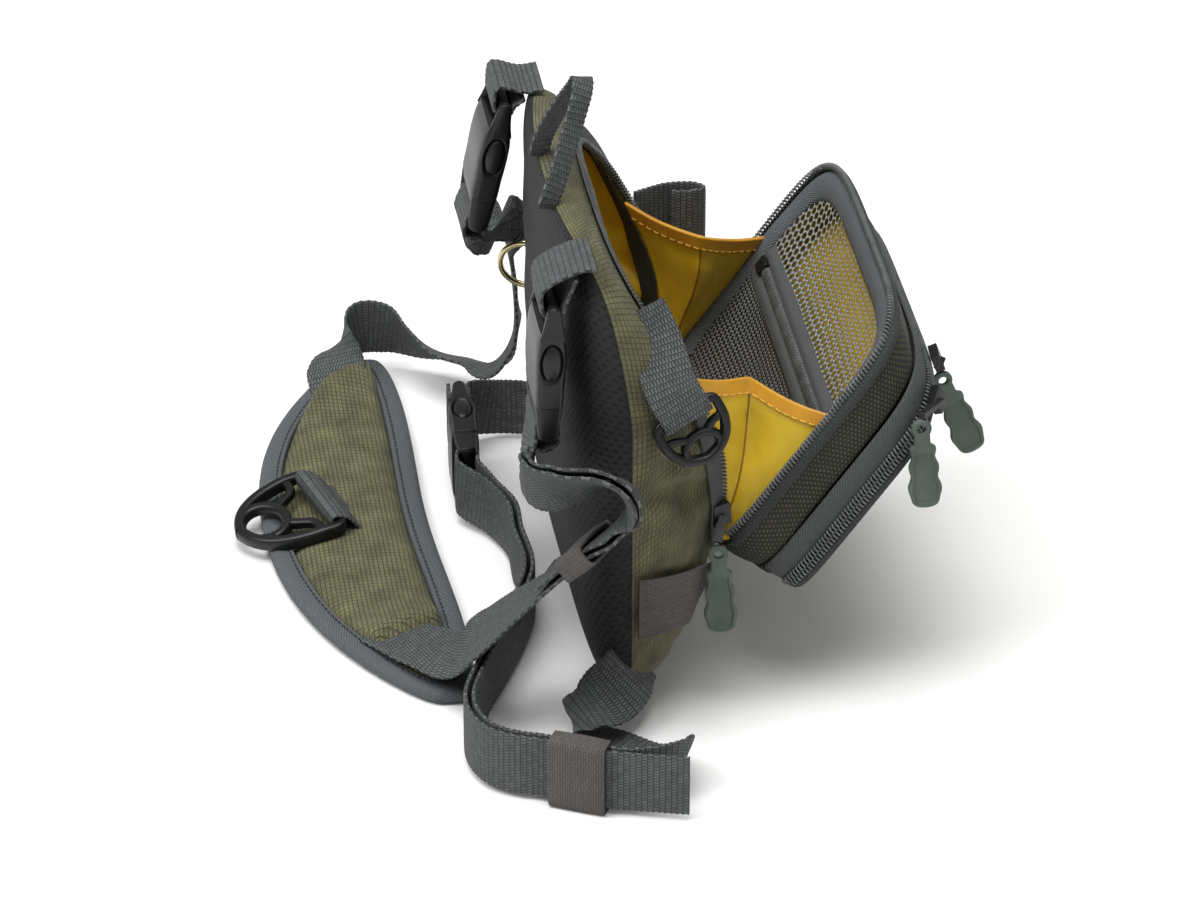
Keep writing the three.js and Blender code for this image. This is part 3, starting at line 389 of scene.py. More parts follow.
def smooth_table(rows, x):
    """Cubic curve through [place, value] rows, with each slope taken between its two neighbours."""
    at, value = rows[:, 0], rows[:, 1]
    before = np.maximum(np.arange(len(at)) - 1, 0)
    after = np.minimum(np.arange(len(at)) + 1, len(at) - 1)
    slope = (value[after] - value[before]) / (at[after] - at[before])
    x = np.clip(x, at[0], at[-1])
    k = np.clip(np.searchsorted(at, x), 1, len(at) - 1)
    step = at[k] - at[k - 1]
    t = (x - at[k - 1]) / step
    rise = t * t * (3 - 2 * t)
    bend = t * (1 - t) * step * ((1 - t) * slope[k - 1] - t * slope[k])
    return value[k - 1] + (value[k] - value[k - 1]) * rise + bend


def mouth(angle):
    """Edge of the mouth: a squared oval that leans back with height, as the profile table says."""
    x, rise = squared(angle, MOUTH_HALF, MOUTH_TALL, MOUTH_TALL, MOUTH_TOP, MOUTH_BOTTOM)
    z = MOUTH_LOW + MOUTH_TALL + rise
    return np.stack([x, smooth_table(MOUTH_PROFILE, z), z], -1)


def unit(ways):
    """Directions made one long."""
    return ways / np.linalg.norm(ways, axis=-1, keepdims=True)


def shell(angle, share):
    """Panel from the back seam to the mouth, bulged outwards by a half sine less the side dents."""
    start = seam(angle)
    low = np.maximum(0, -np.sin(angle))
    flat = start + (mouth(angle) - start) * share[..., None]
    at, depth, wide = SIDE_DENTS.T
    dents = (depth * np.exp(-(((flat[..., 2, None] - at) / wide) ** 2))).sum(-1)
    bulge = (BULGE + LOW_BULGE * low ** 2 - dents * np.abs(np.cos(angle))) * np.sin(np.pi * share)
    out = np.stack([start[..., 0] / BACK_HALF, -0.35 * low + 0 * angle, start[..., 2] / BACK_HIGH], -1)
    return flat + unit(out) * bulge[..., None]


def outward(points, round_columns=True):
    """Unit normals of a grid of points, along its columns crossed with along its rows."""
    along = np.gradient(points, axis=0)
    if round_columns:
        across = np.roll(points, -1, 1) - np.roll(points, 1, 1)
    else:
        across = np.gradient(points, axis=1)
    normal = np.cross(across, along)
    return normal / (np.linalg.norm(normal, axis=-1, keepdims=True) + 1e-9)


def crumple(u, v, size, depth, seed):
    """Soft creases: a sum of seven sine ridges of chance direction, size and phase, with flattened tops."""
    draw = np.random.default_rng(seed)
    total = np.zeros(np.broadcast(u, v).shape)
    for turn, share, phase in draw.uniform(0, 1, (7, 3)):
        way = np.pi * turn
        wave = (u * np.cos(way) + v * np.sin(way)) / (size * (0.6 + share)) + 6.28 * phase
        total = total + np.sin(wave + 0.8 * np.sin(0.7 * wave + 9 * phase))
    return depth * np.tanh(total / 2.2)


def ripstop_nylon():
    """Ripstop nylon: a flat weave with thicker threads in a square grid, so it shows small raised squares,
    a dull surface and slight changes of tone."""
    made, tree, shader = material("olive ripstop nylon", 0.78, {"Sheen Weight": 0.06})
    size = cloth_size(tree)
    grid = add(tree, "TexBrick", {
        "Vector": size, "Scale": 1.0, "Mortar Size": 0.34, "Mortar Smooth": 1.0,
        "Brick Width": RIPSTOP_CELL, "Row Height": RIPSTOP_CELL * 0.8,
        "Color1": linear("#676645"), "Color2": linear("#605f3f"), "Mortar": linear("#3e3e27"),
    }, None, offset=0.0)
    thread = add(tree, "TexNoise", {"Vector": size, "Scale": 1.5, "Detail": 3.0})
    cloud = add(tree, "TexNoise", {"Vector": size, "Scale": 0.09, "Detail": 2.0})
    speck = add(tree, "Math", {0: thread, 1: cloud}, operation="ADD")
    tone = add(tree, "MapRange", {0: speck, 1: 0.7, 2: 1.3, 3: 0.5, 4: 1.35})
    colour = add(tree, "VectorMath", {0: grid.outputs["Color"], 1: tone}, operation="MULTIPLY")
    high = add(tree, "Math", {0: grid.outputs["Fac"], 1: -0.9, 2: thread}, operation="MULTIPLY_ADD")
    finish_with(tree, shader, colour, high, 0.8, 0.6)
    return made


RIPSTOP = ripstop_nylon()


def rear_shell():
    """Outer panel with creases, deepest where the sides hang slack, and a sewn groove low on each side. The
    lined inside lies a cloth's thickness behind it."""
    share = np.linspace(-0.02, 1, SHELL_ROWS)[:, None] + 0 * BACK_TURNS
    angle = BACK_TURNS[None] + 0 * share
    outer = shell(angle, share)
    z = outer[..., 2]
    step = np.linalg.norm(np.roll(outer[MAP_ROW], -1, 0) - outer[MAP_ROW], axis=-1)
    u = np.cumsum(step)[None] + 0 * share
    v = lengths(outer, 0)
    slack = np.exp(-(((z - SLACK_Z) / SLACK_SPREAD) ** 2))
    calm = np.sin(np.pi * np.clip(share, 0, 1)) ** 1.2
    creases = crumple(v * 0.45, z * 1.5, 4.2, 1.05, 4) * np.cos(angle) ** 2 * (1 + 2.6 * slack)
    creases = creases + crumple(u, v, 9.0, 0.6, 8)
    groove = np.exp(-(((share - GROOVE_SHARE) / GROOVE_WIDE) ** 2)) * (z < GROOVE_TOP)
    outer = outer + outward(outer) * (calm * creases - GROOVE_DEEP * groove)[..., None]
    inner = outer - outward(outer) * CLOTH
    inner[..., 1] = np.minimum(inner[..., 1], seam(angle)[..., 1] - 0.4)
    points = np.concatenate([outer, inner[::-1]])
    uv = np.stack([u, v], -1)
    uv = wrapped(np.concatenate([uv, uv[::-1]]))
    uv[:, -1, 0] += step.sum()
    piece = surface("rear_shell_cloth", points, uv, round_rows=True, round_columns=True)
    rows = np.repeat(np.arange(len(points)), COLUMNS)
    inside = (rows > len(outer) - 1) & (rows < len(points) - 3)
    dress(piece, "ripstop", [RIPSTOP, LINING], "rear_shell", second=inside)


rear_shell()

# Flap: a shallow tray hinged along the low edge of the mouth. Its side wall is a dark woven cloth with small
# olive dots, its inside is lined in yellow.
FLAP_HALF = 77.0
FLAP_LONG = 118.0
FLAP_TOP = 5.4
FLAP_BOTTOM = 7.0
FLAP_HINGE = np.array([0, -58.5, -45.0])
FLAP_OPEN = math.radians(36.5)
FLAP_UP = np.array([0, -math.sin(FLAP_OPEN), math.cos(FLAP_OPEN)])
FLAP_OUT = np.array([0, -math.cos(FLAP_OPEN), -math.sin(FLAP_OPEN)])
TOP_SLOPE = 0.62
FLAP_TURNS = even_turns(240, FLAP_HALF, FLAP_LONG / 2, FLAP_LONG / 2, FLAP_TOP, FLAP_BOTTOM)
DOT_CELL = (2.1, 1.5)
TRAY = np.array([
    # depth, inset, share of the way out
    (17, 0, 0),
    (17, 0, 0.5),
    (17, 0, 0.97),
    (16.4, 0, 1),
    (12, -0.3, 1),
    (8, -0.4, 1),
    (4, -0.3, 1),
    (0.4, 0, 1),
    (0, 1, 1),
    (0.4, 2, 1),
    (7, 2, 1),
    (14.4, 2, 1),
    (15, 2.4, 0.97),
    (15, 2, 0.5),
    (15, 2, 0),
])
TRAY_WALL = (2.6, 7.4)
TRAY_INSIDE = 8


def on_flap(x, along, depth):
    """Point of the flap: hinge line + x across + along up the flap + depth away from the pack."""
    x, along, depth = np.broadcast_arrays(x, along, depth)
    across = np.stack([x, 0 * x, 0 * x], -1)
    return FLAP_HINGE + across + along[..., None] * FLAP_UP + depth[..., None] * FLAP_OUT


def flap_edge(angle, depth, inset=0.0, share=1.0):
    """Points round the flap at a depth: a squared oval whose top end slopes back with depth, drawn in by an
    inset or to a share of the way out from its middle."""
    middle = (FLAP_LONG - TOP_SLOPE * depth) / 2
    half = middle - inset
    x, rise = squared(angle, FLAP_HALF - inset, half, half, FLAP_TOP, FLAP_BOTTOM)
    return on_flap(x * share, middle + rise * share, depth)


def ring_map(points):
    """Cloth map of a round grid: length round the ring by length along the rows, in mm."""
    step = np.linalg.norm(np.roll(points, -1, 1) - points, axis=-1).max(0)
    u = np.concatenate([[0], np.cumsum(step)])[None] + np.zeros((len(points), 1))
    return np.stack([u, wrapped(lengths(points, 0))], -1)


def dotted_weave():
    """Jacquard nylon: near-black ground with a small olive dot in a staggered pattern."""
    made, tree, shader = material("dotted jacquard nylon", 0.75)
    size = cloth_size(tree)
    dot = add(tree, "MapRange", {0: cells(tree, size, *DOT_CELL), 1: 0.75, 2: 1.3})
    fuzz = add(tree, "TexNoise", {"Vector": size, "Scale": 0.25, "Detail": 2.0})
    worn = add(tree, "MapRange", {0: fuzz, 1: 0.3, 2: 0.7, 3: 0.55, 4: 1.0})
    lit = add(tree, "Math", {0: dot, 1: worn}, operation="MULTIPLY")
    finish_with(tree, shader, toned(tree, lit, 0.1, 1.0, "#131410", "#57522c"), lit, 0.7, 0.5)
    return made


DOTTED = dotted_weave()


def flap_shell():
    """Tray: outer floor, side wall, rim, inner wall and inner floor in one closed run of rings."""
    fine = np.linspace(0, len(TRAY) - 1, 5 * len(TRAY))
    depth, inset, share = [np.interp(fine, np.arange(len(TRAY)), c)[:, None] for c in TRAY.T]
    points = flap_edge(FLAP_TURNS[None], depth, inset, share)
    uv = ring_map(points)
    wall = ((fine > TRAY_WALL[0]) & (fine < TRAY_WALL[1]))[:, None]
    slack = crumple(uv[:, :-1, 0], uv[:, :-1, 1], 8.0, 0.6, 3)
    points = points + outward(points) * (wall * slack)[..., None]
    piece = surface("flap_shell_cloth", points, uv, round_columns=True)
    inside = np.repeat(fine[:-1] > TRAY_INSIDE, len(FLAP_TURNS))
    dress(piece, "ripstop", [DOTTED, LINING], "flap_shell", second=inside)


flap_shell()

# Front pocket: a cup of the dotted cloth over the flap, open to it, with a bowed olive front. Its wall is as
# thick as the flap's.
POCKET_START = 17.4
CUP = np.array([
    # depth, inset, share of the way out
    (39, 0, 0),
    (38.7, 0, 0.3),
    (38, 0, 0.5),
    (36.8, 1, 0.72),
    (35, 4, 0.9),
    (33, 1, 0.985),
    (30, 0, 1),
    (24, -0.4, 1),
    (POCKET_START, 0, 1),
])
CUP_FRONT = 7
CUP_WALL = 5.5


def front_pocket():
    """Cup: bowed front, rounded edge and side wall, and the same rows again a cloth's thickness inside."""
    inner = CUP - np.array([CLOTH, -CLOTH, 0.012])
    inner[:, 2] = np.clip(inner[:, 2], 0, 1)
    inner[-1] = (POCKET_START, CLOTH, 1)
    rows = np.concatenate([CUP, inner[::-1]])
    fine = np.linspace(0, len(rows) - 1, 4 * len(rows))
    count = np.arange(len(rows), dtype=float)
    depth, inset, share = [smooth_table(np.stack([count, c], -1), fine)[:, None] for c in rows.T]
    points = flap_edge(FLAP_TURNS[None], np.maximum(depth, POCKET_START), inset, np.clip(share, 0, 1))
    uv = ring_map(points)
    puff = crumple(points[..., 0], points[..., 2], 11.0, 0.8, 12) * (fine < CUP_FRONT)[:, None]
    points = points + outward(points) * puff[..., None]
    piece = surface("front_pocket_cloth", points, uv, round_columns=True)
    wall = np.repeat(fine[:-1] > CUP_WALL, len(FLAP_TURNS))
    dress(piece, "ripstop", [RIPSTOP, DOTTED], "front_pocket", second=wall)


front_pocket()

# Zips: a coil of nylon wire sewn on grey tape. The mouth and the flap each carry one half, the front pocket's
# zip is closed, and a short one crosses the inside of the flap.
COIL_PITCH = 1.6
COIL_WIRE = 0.46
COIL_WIDE = 2.6
COIL_TALL = 2.0
TAPE_THICK = 0.8
TAPE_TWILL = 1.1
MOUTH_ZIP = (-22.5, 202.5)
FLAP_ZIP = (-32.4, 212.4)
COIL_RIDE = 2.6


def twill_tape(name, code, pitch):
    """Woven polyester tape: a fine slanted twill rib and a slightly uneven grey."""
    made, tree, shader = material(name, 0.82)
    size = cloth_size(tree, math.radians(48))
    wave = {"Vector": size, "Scale": 2 * math.pi / (20 * pitch), "Distortion": 0.8, "Detail": 1.0}
    fuzz = add(tree, "TexNoise", {"Vector": size, "Scale": 0.9, "Detail": 3.0})
    mix = add(tree, "Math", {0: add(tree, "TexWave", wave, 1), 1: 0.6, 2: fuzz}, operation="MULTIPLY_ADD")
    tone = add(tree, "MapRange", {0: mix, 1: 0.3, 2: 1.3, 3: 0.5, 4: 1.35})
    colour = add(tree, "VectorMath", {0: linear(code)[:3], 1: tone}, operation="MULTIPLY")
    finish_with(tree, shader, colour, mix, 0.6, 0.4)
    return made


# Nylon monofilament: grey, smooth drawn wire with a soft gloss.
COIL = mottled("nylon coil", 0.4, "#4b4f4e", "#606463", (6.25, 2.0, 0.3, 0.7), (6.25, 2.0), (0.1, 0.1))
ZIP_TAPE = twill_tape("grey zip tape", "#474a4a", TAPE_TWILL)
DARK_TAPE = twill_tape("dark facing tape", "#2e3131", TAPE_TWILL)


def resample(points, spacing, *others):
    """Points, and arrays that go with them, at an even spacing along their line."""
    run = lengths(points, 0)
    at = np.linspace(0, run[-1], max(2, int(run[-1] / spacing)))
    return [np.stack([np.interp(at, run, c) for c in a.T], -1) for a in (points, *others)]


def frames(points, outs):
    """Ahead, out and side directions along a line, square to each other."""
    ahead = unit(np.gradient(points, axis=0))
    out = unit(outs - ahead * (outs * ahead).sum(-1, keepdims=True))
    return ahead, out, np.cross(ahead, out)


def zip_coil(name, points, outs, *nodes, wide=COIL_WIDE):
    """Coil of a zip in the place of its CAD strip: a wire tube along a flat helix, one turn for each pitch,
    line + wide/2 cos(turn) side + tall/2 sin(turn) out."""
    points, outs = resample(points, COIL_PITCH / 10, outs)
    ahead, out, side = frames(points, outs)
    turn = (lengths(points, 0) / COIL_PITCH * 2 * np.pi)[:, None]
    line = points + side * np.cos(turn) * wide / 2 + out * np.sin(turn) * COIL_TALL / 2
    first, second = frames(line, out * np.sin(turn) + side * np.cos(turn))[1:]
    ring = np.arange(6)[:, None] * 2 * np.pi / 6
    spoke = first[:, None] * np.cos(ring) + second[:, None] * np.sin(ring)
    piece = surface(name, line[:, None] + COIL_WIRE * spoke, round_columns=True, ends=True)
    dress(piece, "zip", COIL, *nodes)


def thickened(piece, thick):
    """Gives a sheet its thickness in mm, half on each side."""
    wall = piece.modifiers.new("thickness", "SOLIDIFY")
    wall.thickness = thick * MM
    wall.offset = 0
    return piece


def tape(name, edge, finish=ZIP_TAPE, slot="zip"):
    """Tape or ribbon over a grid of points."""
    piece = surface(name, edge, np.stack([lengths(edge, 1), lengths(edge, 0)], -1), flip=False)
    return dress(thickened(piece, TAPE_THICK), slot, finish)


def even_run(between, line, count=1200):
    """Angles between two in degrees, spaced evenly along the points that line() gives for them."""
    angles = np.radians(np.linspace(*between, count))
    run = lengths(line(angles), 0)
    return np.interp(np.linspace(0, run[-1], count), run, angles)


def mouth_zip():
    """Half zip along the mouth: coil on the rim, tape lapped over the olive edge, dark facing inside."""
    angle = even_run(MOUTH_ZIP, mouth)

    def strip(first):
        """Grid on the panel from a share of its way to the rim."""
        share = np.linspace(first, 1, 9)[:, None] + 0 * angle
        return shell(angle[None] + 0 * share, share)

    rim = shell(angle, 1 + 0 * angle)
    ahead = unit(rim - shell(angle, 0.8 + 0 * angle))
    outs = np.stack([np.cos(angle), -0.5 + 0 * angle, np.sin(angle)], -1)
    zip_coil("zip_mouth_coil", rim + ahead * COIL_RIDE, outs, "zip_mouth")
    lap = np.concatenate([strip(0.86), (rim + ahead * 1.6)[None]])
    lift = np.linspace(1.7, 0.3, len(lap))[:, None, None]
    tape("zip_mouth_tape", lap + outward(lap, False) * lift)
    facing = strip(0.84)
    tape("zip_mouth_facing", facing - outward(facing, False) * (CLOTH + 0.9), DARK_TAPE, "binding")


def flap_rim(angle):
    """Open edge of the flap."""
    return flap_edge(angle, 0.0)


def flap_zips():
    """Half zip on the flap's open edge and the closed zip round the front pocket, each on its tape."""
    angle = even_run(FLAP_ZIP, flap_rim)
    rise = np.sin(angle)[:, None]
    side = np.stack([np.cos(angle), 0 * angle, 0 * angle], -1)
    outs = unit(side + rise * FLAP_UP + TOP_SLOPE * np.maximum(0, rise) * FLAP_OUT)
    zip_coil("zip_flap_coil", flap_edge(angle, -2.5, 1.2), outs, "zip_flap")
    depth = np.linspace(-1.8, 2.2, 6)[:, None]
    inset = np.interp(depth, [-1.8, 0, 2.2], [1.0, -0.7, -0.9])
    tape("zip_flap_tape", flap_edge(angle[None], depth, inset), DARK_TAPE)
    for row, (at, nodes) in enumerate(((26.8, ["zip_pocket"]), (29.2, []))):
        zip_coil(f"zip_pocket_coil_{row}", flap_edge(angle, at, -2.0), outs, *nodes)
    for row, (near, far, finish) in enumerate(((16.5, 26.2, ZIP_TAPE), (29.8, 34.0, DARK_TAPE))):
        depth = np.linspace(near, far, 9)[:, None]
        inset = -0.9 - 0.9 * np.sin(np.pi * (depth - near) / (far - near)) + 0.5 * (depth > 32)
        tape(f"zip_pocket_tape_{row}", flap_edge(angle[None], depth, inset), finish)


mouth_zip()
flap_zips()

# Flap inside: a rolled edge of grey twill, a dark net below and an open one above, and a short zip between
# them. The edge is sewn over the flap's rim and holds the nets.
BIND_WIDE = 8.0
BIND_IN = 2.4
BIND_LAP = 1.2
BIND_ROLL = 2.6
BIND_ANGLES = (-36, 216)
BIND_STEPS = 900
PUCKERS = 330 / 7.5
NET_DEPTH = 1.6
NET_LOW = 11.0
NET_HIGH = 108.0
NET_CLEAR = 7.0
INNER_ZIP_AT = 65.0
INNER_ZIP_HALF = 66.0
TAPE_BINDING = twill_tape("grey twill binding", "#505457", 1.3)


def flap_binding():
    """Rolled edge tape: a soft half round over the rim of the flap, down to the nets, gently puckered."""
    angle = even_run(BIND_ANGLES, flap_rim, BIND_STEPS)
    across = np.linspace(0, 1, 14)[:, None]
    pucker = 0.35 * np.sin(np.arange(BIND_STEPS)[None] / BIND_STEPS * PUCKERS)
    inset = BIND_IN - BIND_LAP + (BIND_WIDE + BIND_LAP) * across
    depth = 0.4 - (BIND_ROLL + pucker) * np.sin(np.pi * across) ** 0.6 + NET_DEPTH * across
    piece = tape("flap_binding_tape", flap_edge(angle[None], depth, inset), TAPE_BINDING, "binding")
    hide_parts("flap_binding")


def net_half(along, inset):
    """Half width of the net at a height on the flap."""
    middle = (FLAP_LONG - 4 * TOP_SLOPE) / 2
    n = np.where(along > middle, FLAP_TOP, FLAP_BOTTOM)
    reach = np.minimum(0.999, np.abs(along - middle) / (middle - inset))
    return (FLAP_HALF - inset) * (1 - reach ** n) ** (1 / n)


def knitted_net(name, cell, thread, hole, glint, cover, near, far):
    """Knitted polyester net: threads round staggered cells, with a painted highlight on their knots. The
    cells' cover lets the lining show through, and the threads widen from the far edge to the near one."""
    made, tree, shader = material(name, 0.5)
    size = cloth_size(tree)
    field = cells(tree, size, *cell)
    along = add(tree, "SeparateXYZ", {0: size}, 1)
    reach = add(tree, "MapRange", {0: along, 1: INNER_ZIP_AT + 10, 2: INNER_ZIP_AT + 34, 3: near, 4: far})
    past = add(tree, "Math", {0: reach, 1: field}, operation="SUBTRACT")
    mask = add(tree, "MapRange", {0: past, 1: -0.1, 2: 0.1})
    # Painted highlight: where three cells meet, the knots are painted in the glint colour as if lit.
    painted_knot_glint = add(tree, "MapRange", {0: field, 1: 0.12, 2: -0.12})
    colour = add(tree, "Mix", {0: mask, 6: linear(hole), 7: linear(thread)}, 2, data_type="RGBA")
    colour = add(tree, "Mix", {0: painted_knot_glint, 6: colour, 7: linear(glint)}, 2, data_type="RGBA")
    tree.links.new(add(tree, "MapRange", {0: mask, 3: cover}), shader.inputs["Alpha"])
    finish_with(tree, shader, colour, past, 0.6, 0.6)
    return made


def net_panel(name, low, high, sag, finish, slot, node):
    """Slack net between the binding and the inner zip: sag (1 - side^2) sin(height)."""
    along = np.linspace(low, high, 40)[:, None]
    side = np.linspace(-1, 1, 90)[None]
    half = net_half(along, BIND_IN + BIND_WIDE - 1.5)
    droop = sag * (1 - side ** 2) * np.sin(np.pi * (along - low) / (high - low))
    depth = NET_DEPTH + droop + crumple(side * 60, along, 9.0, 0.6, 21)
    points = on_flap(side * half, along + 0 * side, depth)
    piece = surface(name, points, np.stack([side * half, along + 0 * side], -1), flip=False)
    dress(piece, slot, finish, node)


def inner_zip():
    """Short closed zip: two tapes with raised edges and a coil across the flap."""
    x = np.linspace(-INNER_ZIP_HALF, INNER_ZIP_HALF, 120)[None]
    for side, (near, far) in enumerate(((-8.5, -1.2), (1.2, 8.5))):
        across = np.linspace(near, far, 8)[:, None]
        depth = 0.9 + 0.5 * np.cos(np.pi * (across - near) / (far - near) * 2)
        tape(f"zip_inner_tape_{side}", on_flap(x, INNER_ZIP_AT + across, depth))
    line = on_flap(np.linspace(1 - INNER_ZIP_HALF, INNER_ZIP_HALF - 1, 200), INNER_ZIP_AT, 0.5)
    zip_coil("zip_inner_coil", line, -FLAP_OUT + 0 * line, "zip_inner", wide=4.2)


flap_binding()
# Both nets' glint colours are painted highlights on the knots. The dark net's holes are nearly opaque
# near-black: they stand in for the pocket behind it, partly its dark contents and partly painted shade.
NET_DARK = knitted_net("dark knitted net", (2.7, 2.2), "#2b2e2f", "#0e0f10", "#85898a", 0.9, 0.42, 0.42)
NET_OPEN = knitted_net("grey open net", (3.9, 3.0), "#4a4a47", "#3a3a38", "#8f9290", 0.0, 0.75, 0.18)
net_panel("flap_net_low", NET_LOW, INNER_ZIP_AT - NET_CLEAR, 4, NET_DARK, "net", "flap_net_lower")
net_panel("flap_net_high", INNER_ZIP_AT + NET_CLEAR, NET_HIGH, 3, NET_OPEN, "net_clear", "flap_net_upper")
inner_zip()

# Gussets: a folded sheet of the yellow nylon each side that stops the flap falling open. It is hemmed along
# its top and sewn down its fold.
GUSSET_MOUTH_TOP = 33.0
GUSSET_FLAP_TOP = 72.0
GUSSET_FOLD = 16.0
GUSSET_BACK_IN = 4.5
GUSSET_FRONT_IN = 4
FOLD_SOFT = 0.0012
HEM_DIP = 1.6
GUSSET_START = 0.12
GUSSET_COLUMNS = 90
HEM_SHARE = 0.915
HEM_END = 1.006
HEM_THICK = 1.5
STITCH_PITCH = 3.4
STITCH_THREAD = 0.3


def mouth_half(z):
    """Half width of the mouth at a height."""
    rise = z - MOUTH_LOW - MOUTH_TALL
    n = np.where(rise > 0, MOUTH_TOP, MOUTH_BOTTOM)
    return MOUTH_HALF * (1 - np.minimum(1, np.abs(rise) / MOUTH_TALL) ** n) ** (1 / n)


def gusset_points(side, share, across):
    """Sheet between the mouth and the flap, drawn inwards along its middle fold, with slack creases and a
    hem that dips a little between its ends."""
    z = MOUTH_LOW + (GUSSET_MOUTH_TOP - MOUTH_LOW) * share
    back_x = side * (mouth_half(z) - GUSSET_BACK_IN)
    back = np.stack([back_x, smooth_table(MOUTH_PROFILE, z) + 1, z], -1)
    along = GUSSET_FLAP_TOP * share
    front = on_flap(side * (net_half(along, 0) - GUSSET_FRONT_IN), along, -0.4)
    points = back + (front - back) * across[..., None]
    tent = 1 - np.sqrt((2 * across - 1) ** 2 + FOLD_SOFT)
    slack = crumple(across * 60, share * 90, 7.0, 1.3, 31)
    slack = slack + crumple(across * 60 + share * 40, share * 20, 5.0, 0.7, 7)
    points[..., 0] -= side * (GUSSET_FOLD * np.maximum(0, tent) * share + slack * np.sin(np.pi * across))
    points[..., 2] -= HEM_DIP * np.abs(np.sin(2 * np.pi * across)) * share
    return points


def tubes(name, grids):
    """One mesh of several tubes. A grid holds rings of points along a line. It closes on itself when its last
    ring meets its first, else both ends are capped. Faces turn outwards by the sign of the volume."""
    points, faces, start = [], [], 0
    for grid in grids:
        closed = np.allclose(grid[0], grid[-1], atol=1e-3)
        flat = (grid[:-1] if closed else grid).reshape(-1, 3)
        index = np.arange(len(flat)).reshape(-1, grid.shape[1])
        here = index if closed else index[:-1]
        after = np.roll(index, -1, 0) if closed else index[1:]
        quads = np.stack([here, np.roll(here, -1, 1), np.roll(after, -1, 1), after], -1).reshape(-1, 4)
        sides = quads.tolist() + ([] if closed else [index[0][::-1].tolist(), index[-1].tolist()])
        turn = -1 if volume(flat, quads) < 0 else 1
        faces += [[start + k for k in face[::turn]] for face in sides]
        points.append(flat)
        start += len(flat)
    return built(name, np.concatenate(points), faces)


def sweep(line, first, second, half_first, half_second, count=20, power=4):
    """Tube along a line: line + first a h1 + second b h2 round a squared oval (a, b)."""
    a, b = squared(np.arange(count) * 2 * np.pi / count, 1, 1, 1, power, power)
    h1 = np.broadcast_to(half_first, len(line))[:, None, None] * a[:, None]
    h2 = np.broadcast_to(half_second, len(line))[:, None, None] * b[:, None]
    first, second = (np.broadcast_to(way, line.shape)[:, None] for way in (first, second))
    return line[:, None] + first * h1 + second * h2


def stitches(name, line, outs, finish, slot, pitch=STITCH_PITCH, thread=STITCH_THREAD):
    """Row of sewn stitches: short dashes of thread along a line, two thirds of the pitch, sunk at their
    ends."""
    line, outs = resample(line, pitch / 9, outs)
    ahead, out, side = frames(line, outs)
    arch = np.sin(np.pi * np.linspace(0, 1, 7))
    grids = []
    for k in range(0, len(line) - 7, 9):
        at = slice(k, k + 7)
        middle = line[at] + out[at] * (thread * (1.2 * arch - 0.5))[:, None]
        grids.append(sweep(middle, out[at], side[at], thread, thread, 6, 2))
    dress(tubes(name, grids), slot, finish)


def sewing_thread(name, code):
    """Polyester sewing thread: dull, twisted, one even colour."""
    made, tree, shader = material(name, 0.7, {"Base Color": linear(code)})
    place = add(tree, "TexCoord", (), "Object")
    twist = add(tree, "TexNoise", {"Vector": place, "Scale": 1 / (0.4 * MM)})
    bump = add(tree, "Bump", {"Height": twist, "Strength": 0.4, "Distance": 0.1 * MM})
    tree.links.new(bump, shader.inputs["Normal"])
    return made


HEM = lining_nylon("doubled yellow nylon", "#b97f12", "#d2981d")
GOLD_THREAD = sewing_thread("gold thread", "#d9ae44")
BROWN_THREAD = sewing_thread("brown seam thread", "#8f6414")


def gusset(side, name):
    """One gusset with its doubled hem, the stitches along the hem and a seam down the fold."""
    share = np.linspace(GUSSET_START, 1, 70)[:, None] + np.zeros((1, GUSSET_COLUMNS))
    across = np.linspace(0, 1, GUSSET_COLUMNS)[None] + 0 * share
    points = gusset_points(side, share, across)
    uv = np.stack([lengths(points, 1), lengths(points, 0)], -1)
    piece = surface(f"gusset_{name}_sheet", points, uv, flip=side > 0)
    dress(piece, "lining", LINING, f"gusset_{name}")
    hem_share = np.linspace(HEM_SHARE, HEM_END, 10)[:, None] + np.zeros((1, GUSSET_COLUMNS))
    hem_points = gusset_points(side, hem_share, across[:10])
    hem = surface(f"gusset_{name}_hem", hem_points, uv[:10], flip=side > 0)
    dress(thickened(hem, HEM_THICK), "lining", HEM)
    for label, face in (("one", -1), ("two", 1)):
        outs = outward(hem_points, False)[1] * face
        stitches(f"gusset_{name}_stitches_{label}", hem_points[1] + outs * 0.9, outs, GOLD_THREAD, "lining")
    seam_share = np.linspace(GUSSET_START + 0.02, HEM_SHARE, 60)
    fold = gusset_points(side, seam_share, 0.5 + 0 * seam_share)
    ahead, out, aside = frames(fold, np.array([side, 0, 0]) + 0 * fold)
    bead = tubes(f"gusset_{name}_seam", [sweep(fold, out, aside, 0.5, 0.4, 8, 2)])
    dress(bead, "lining", BROWN_THREAD)


gusset(-1, "near")
gusset(1, "far")

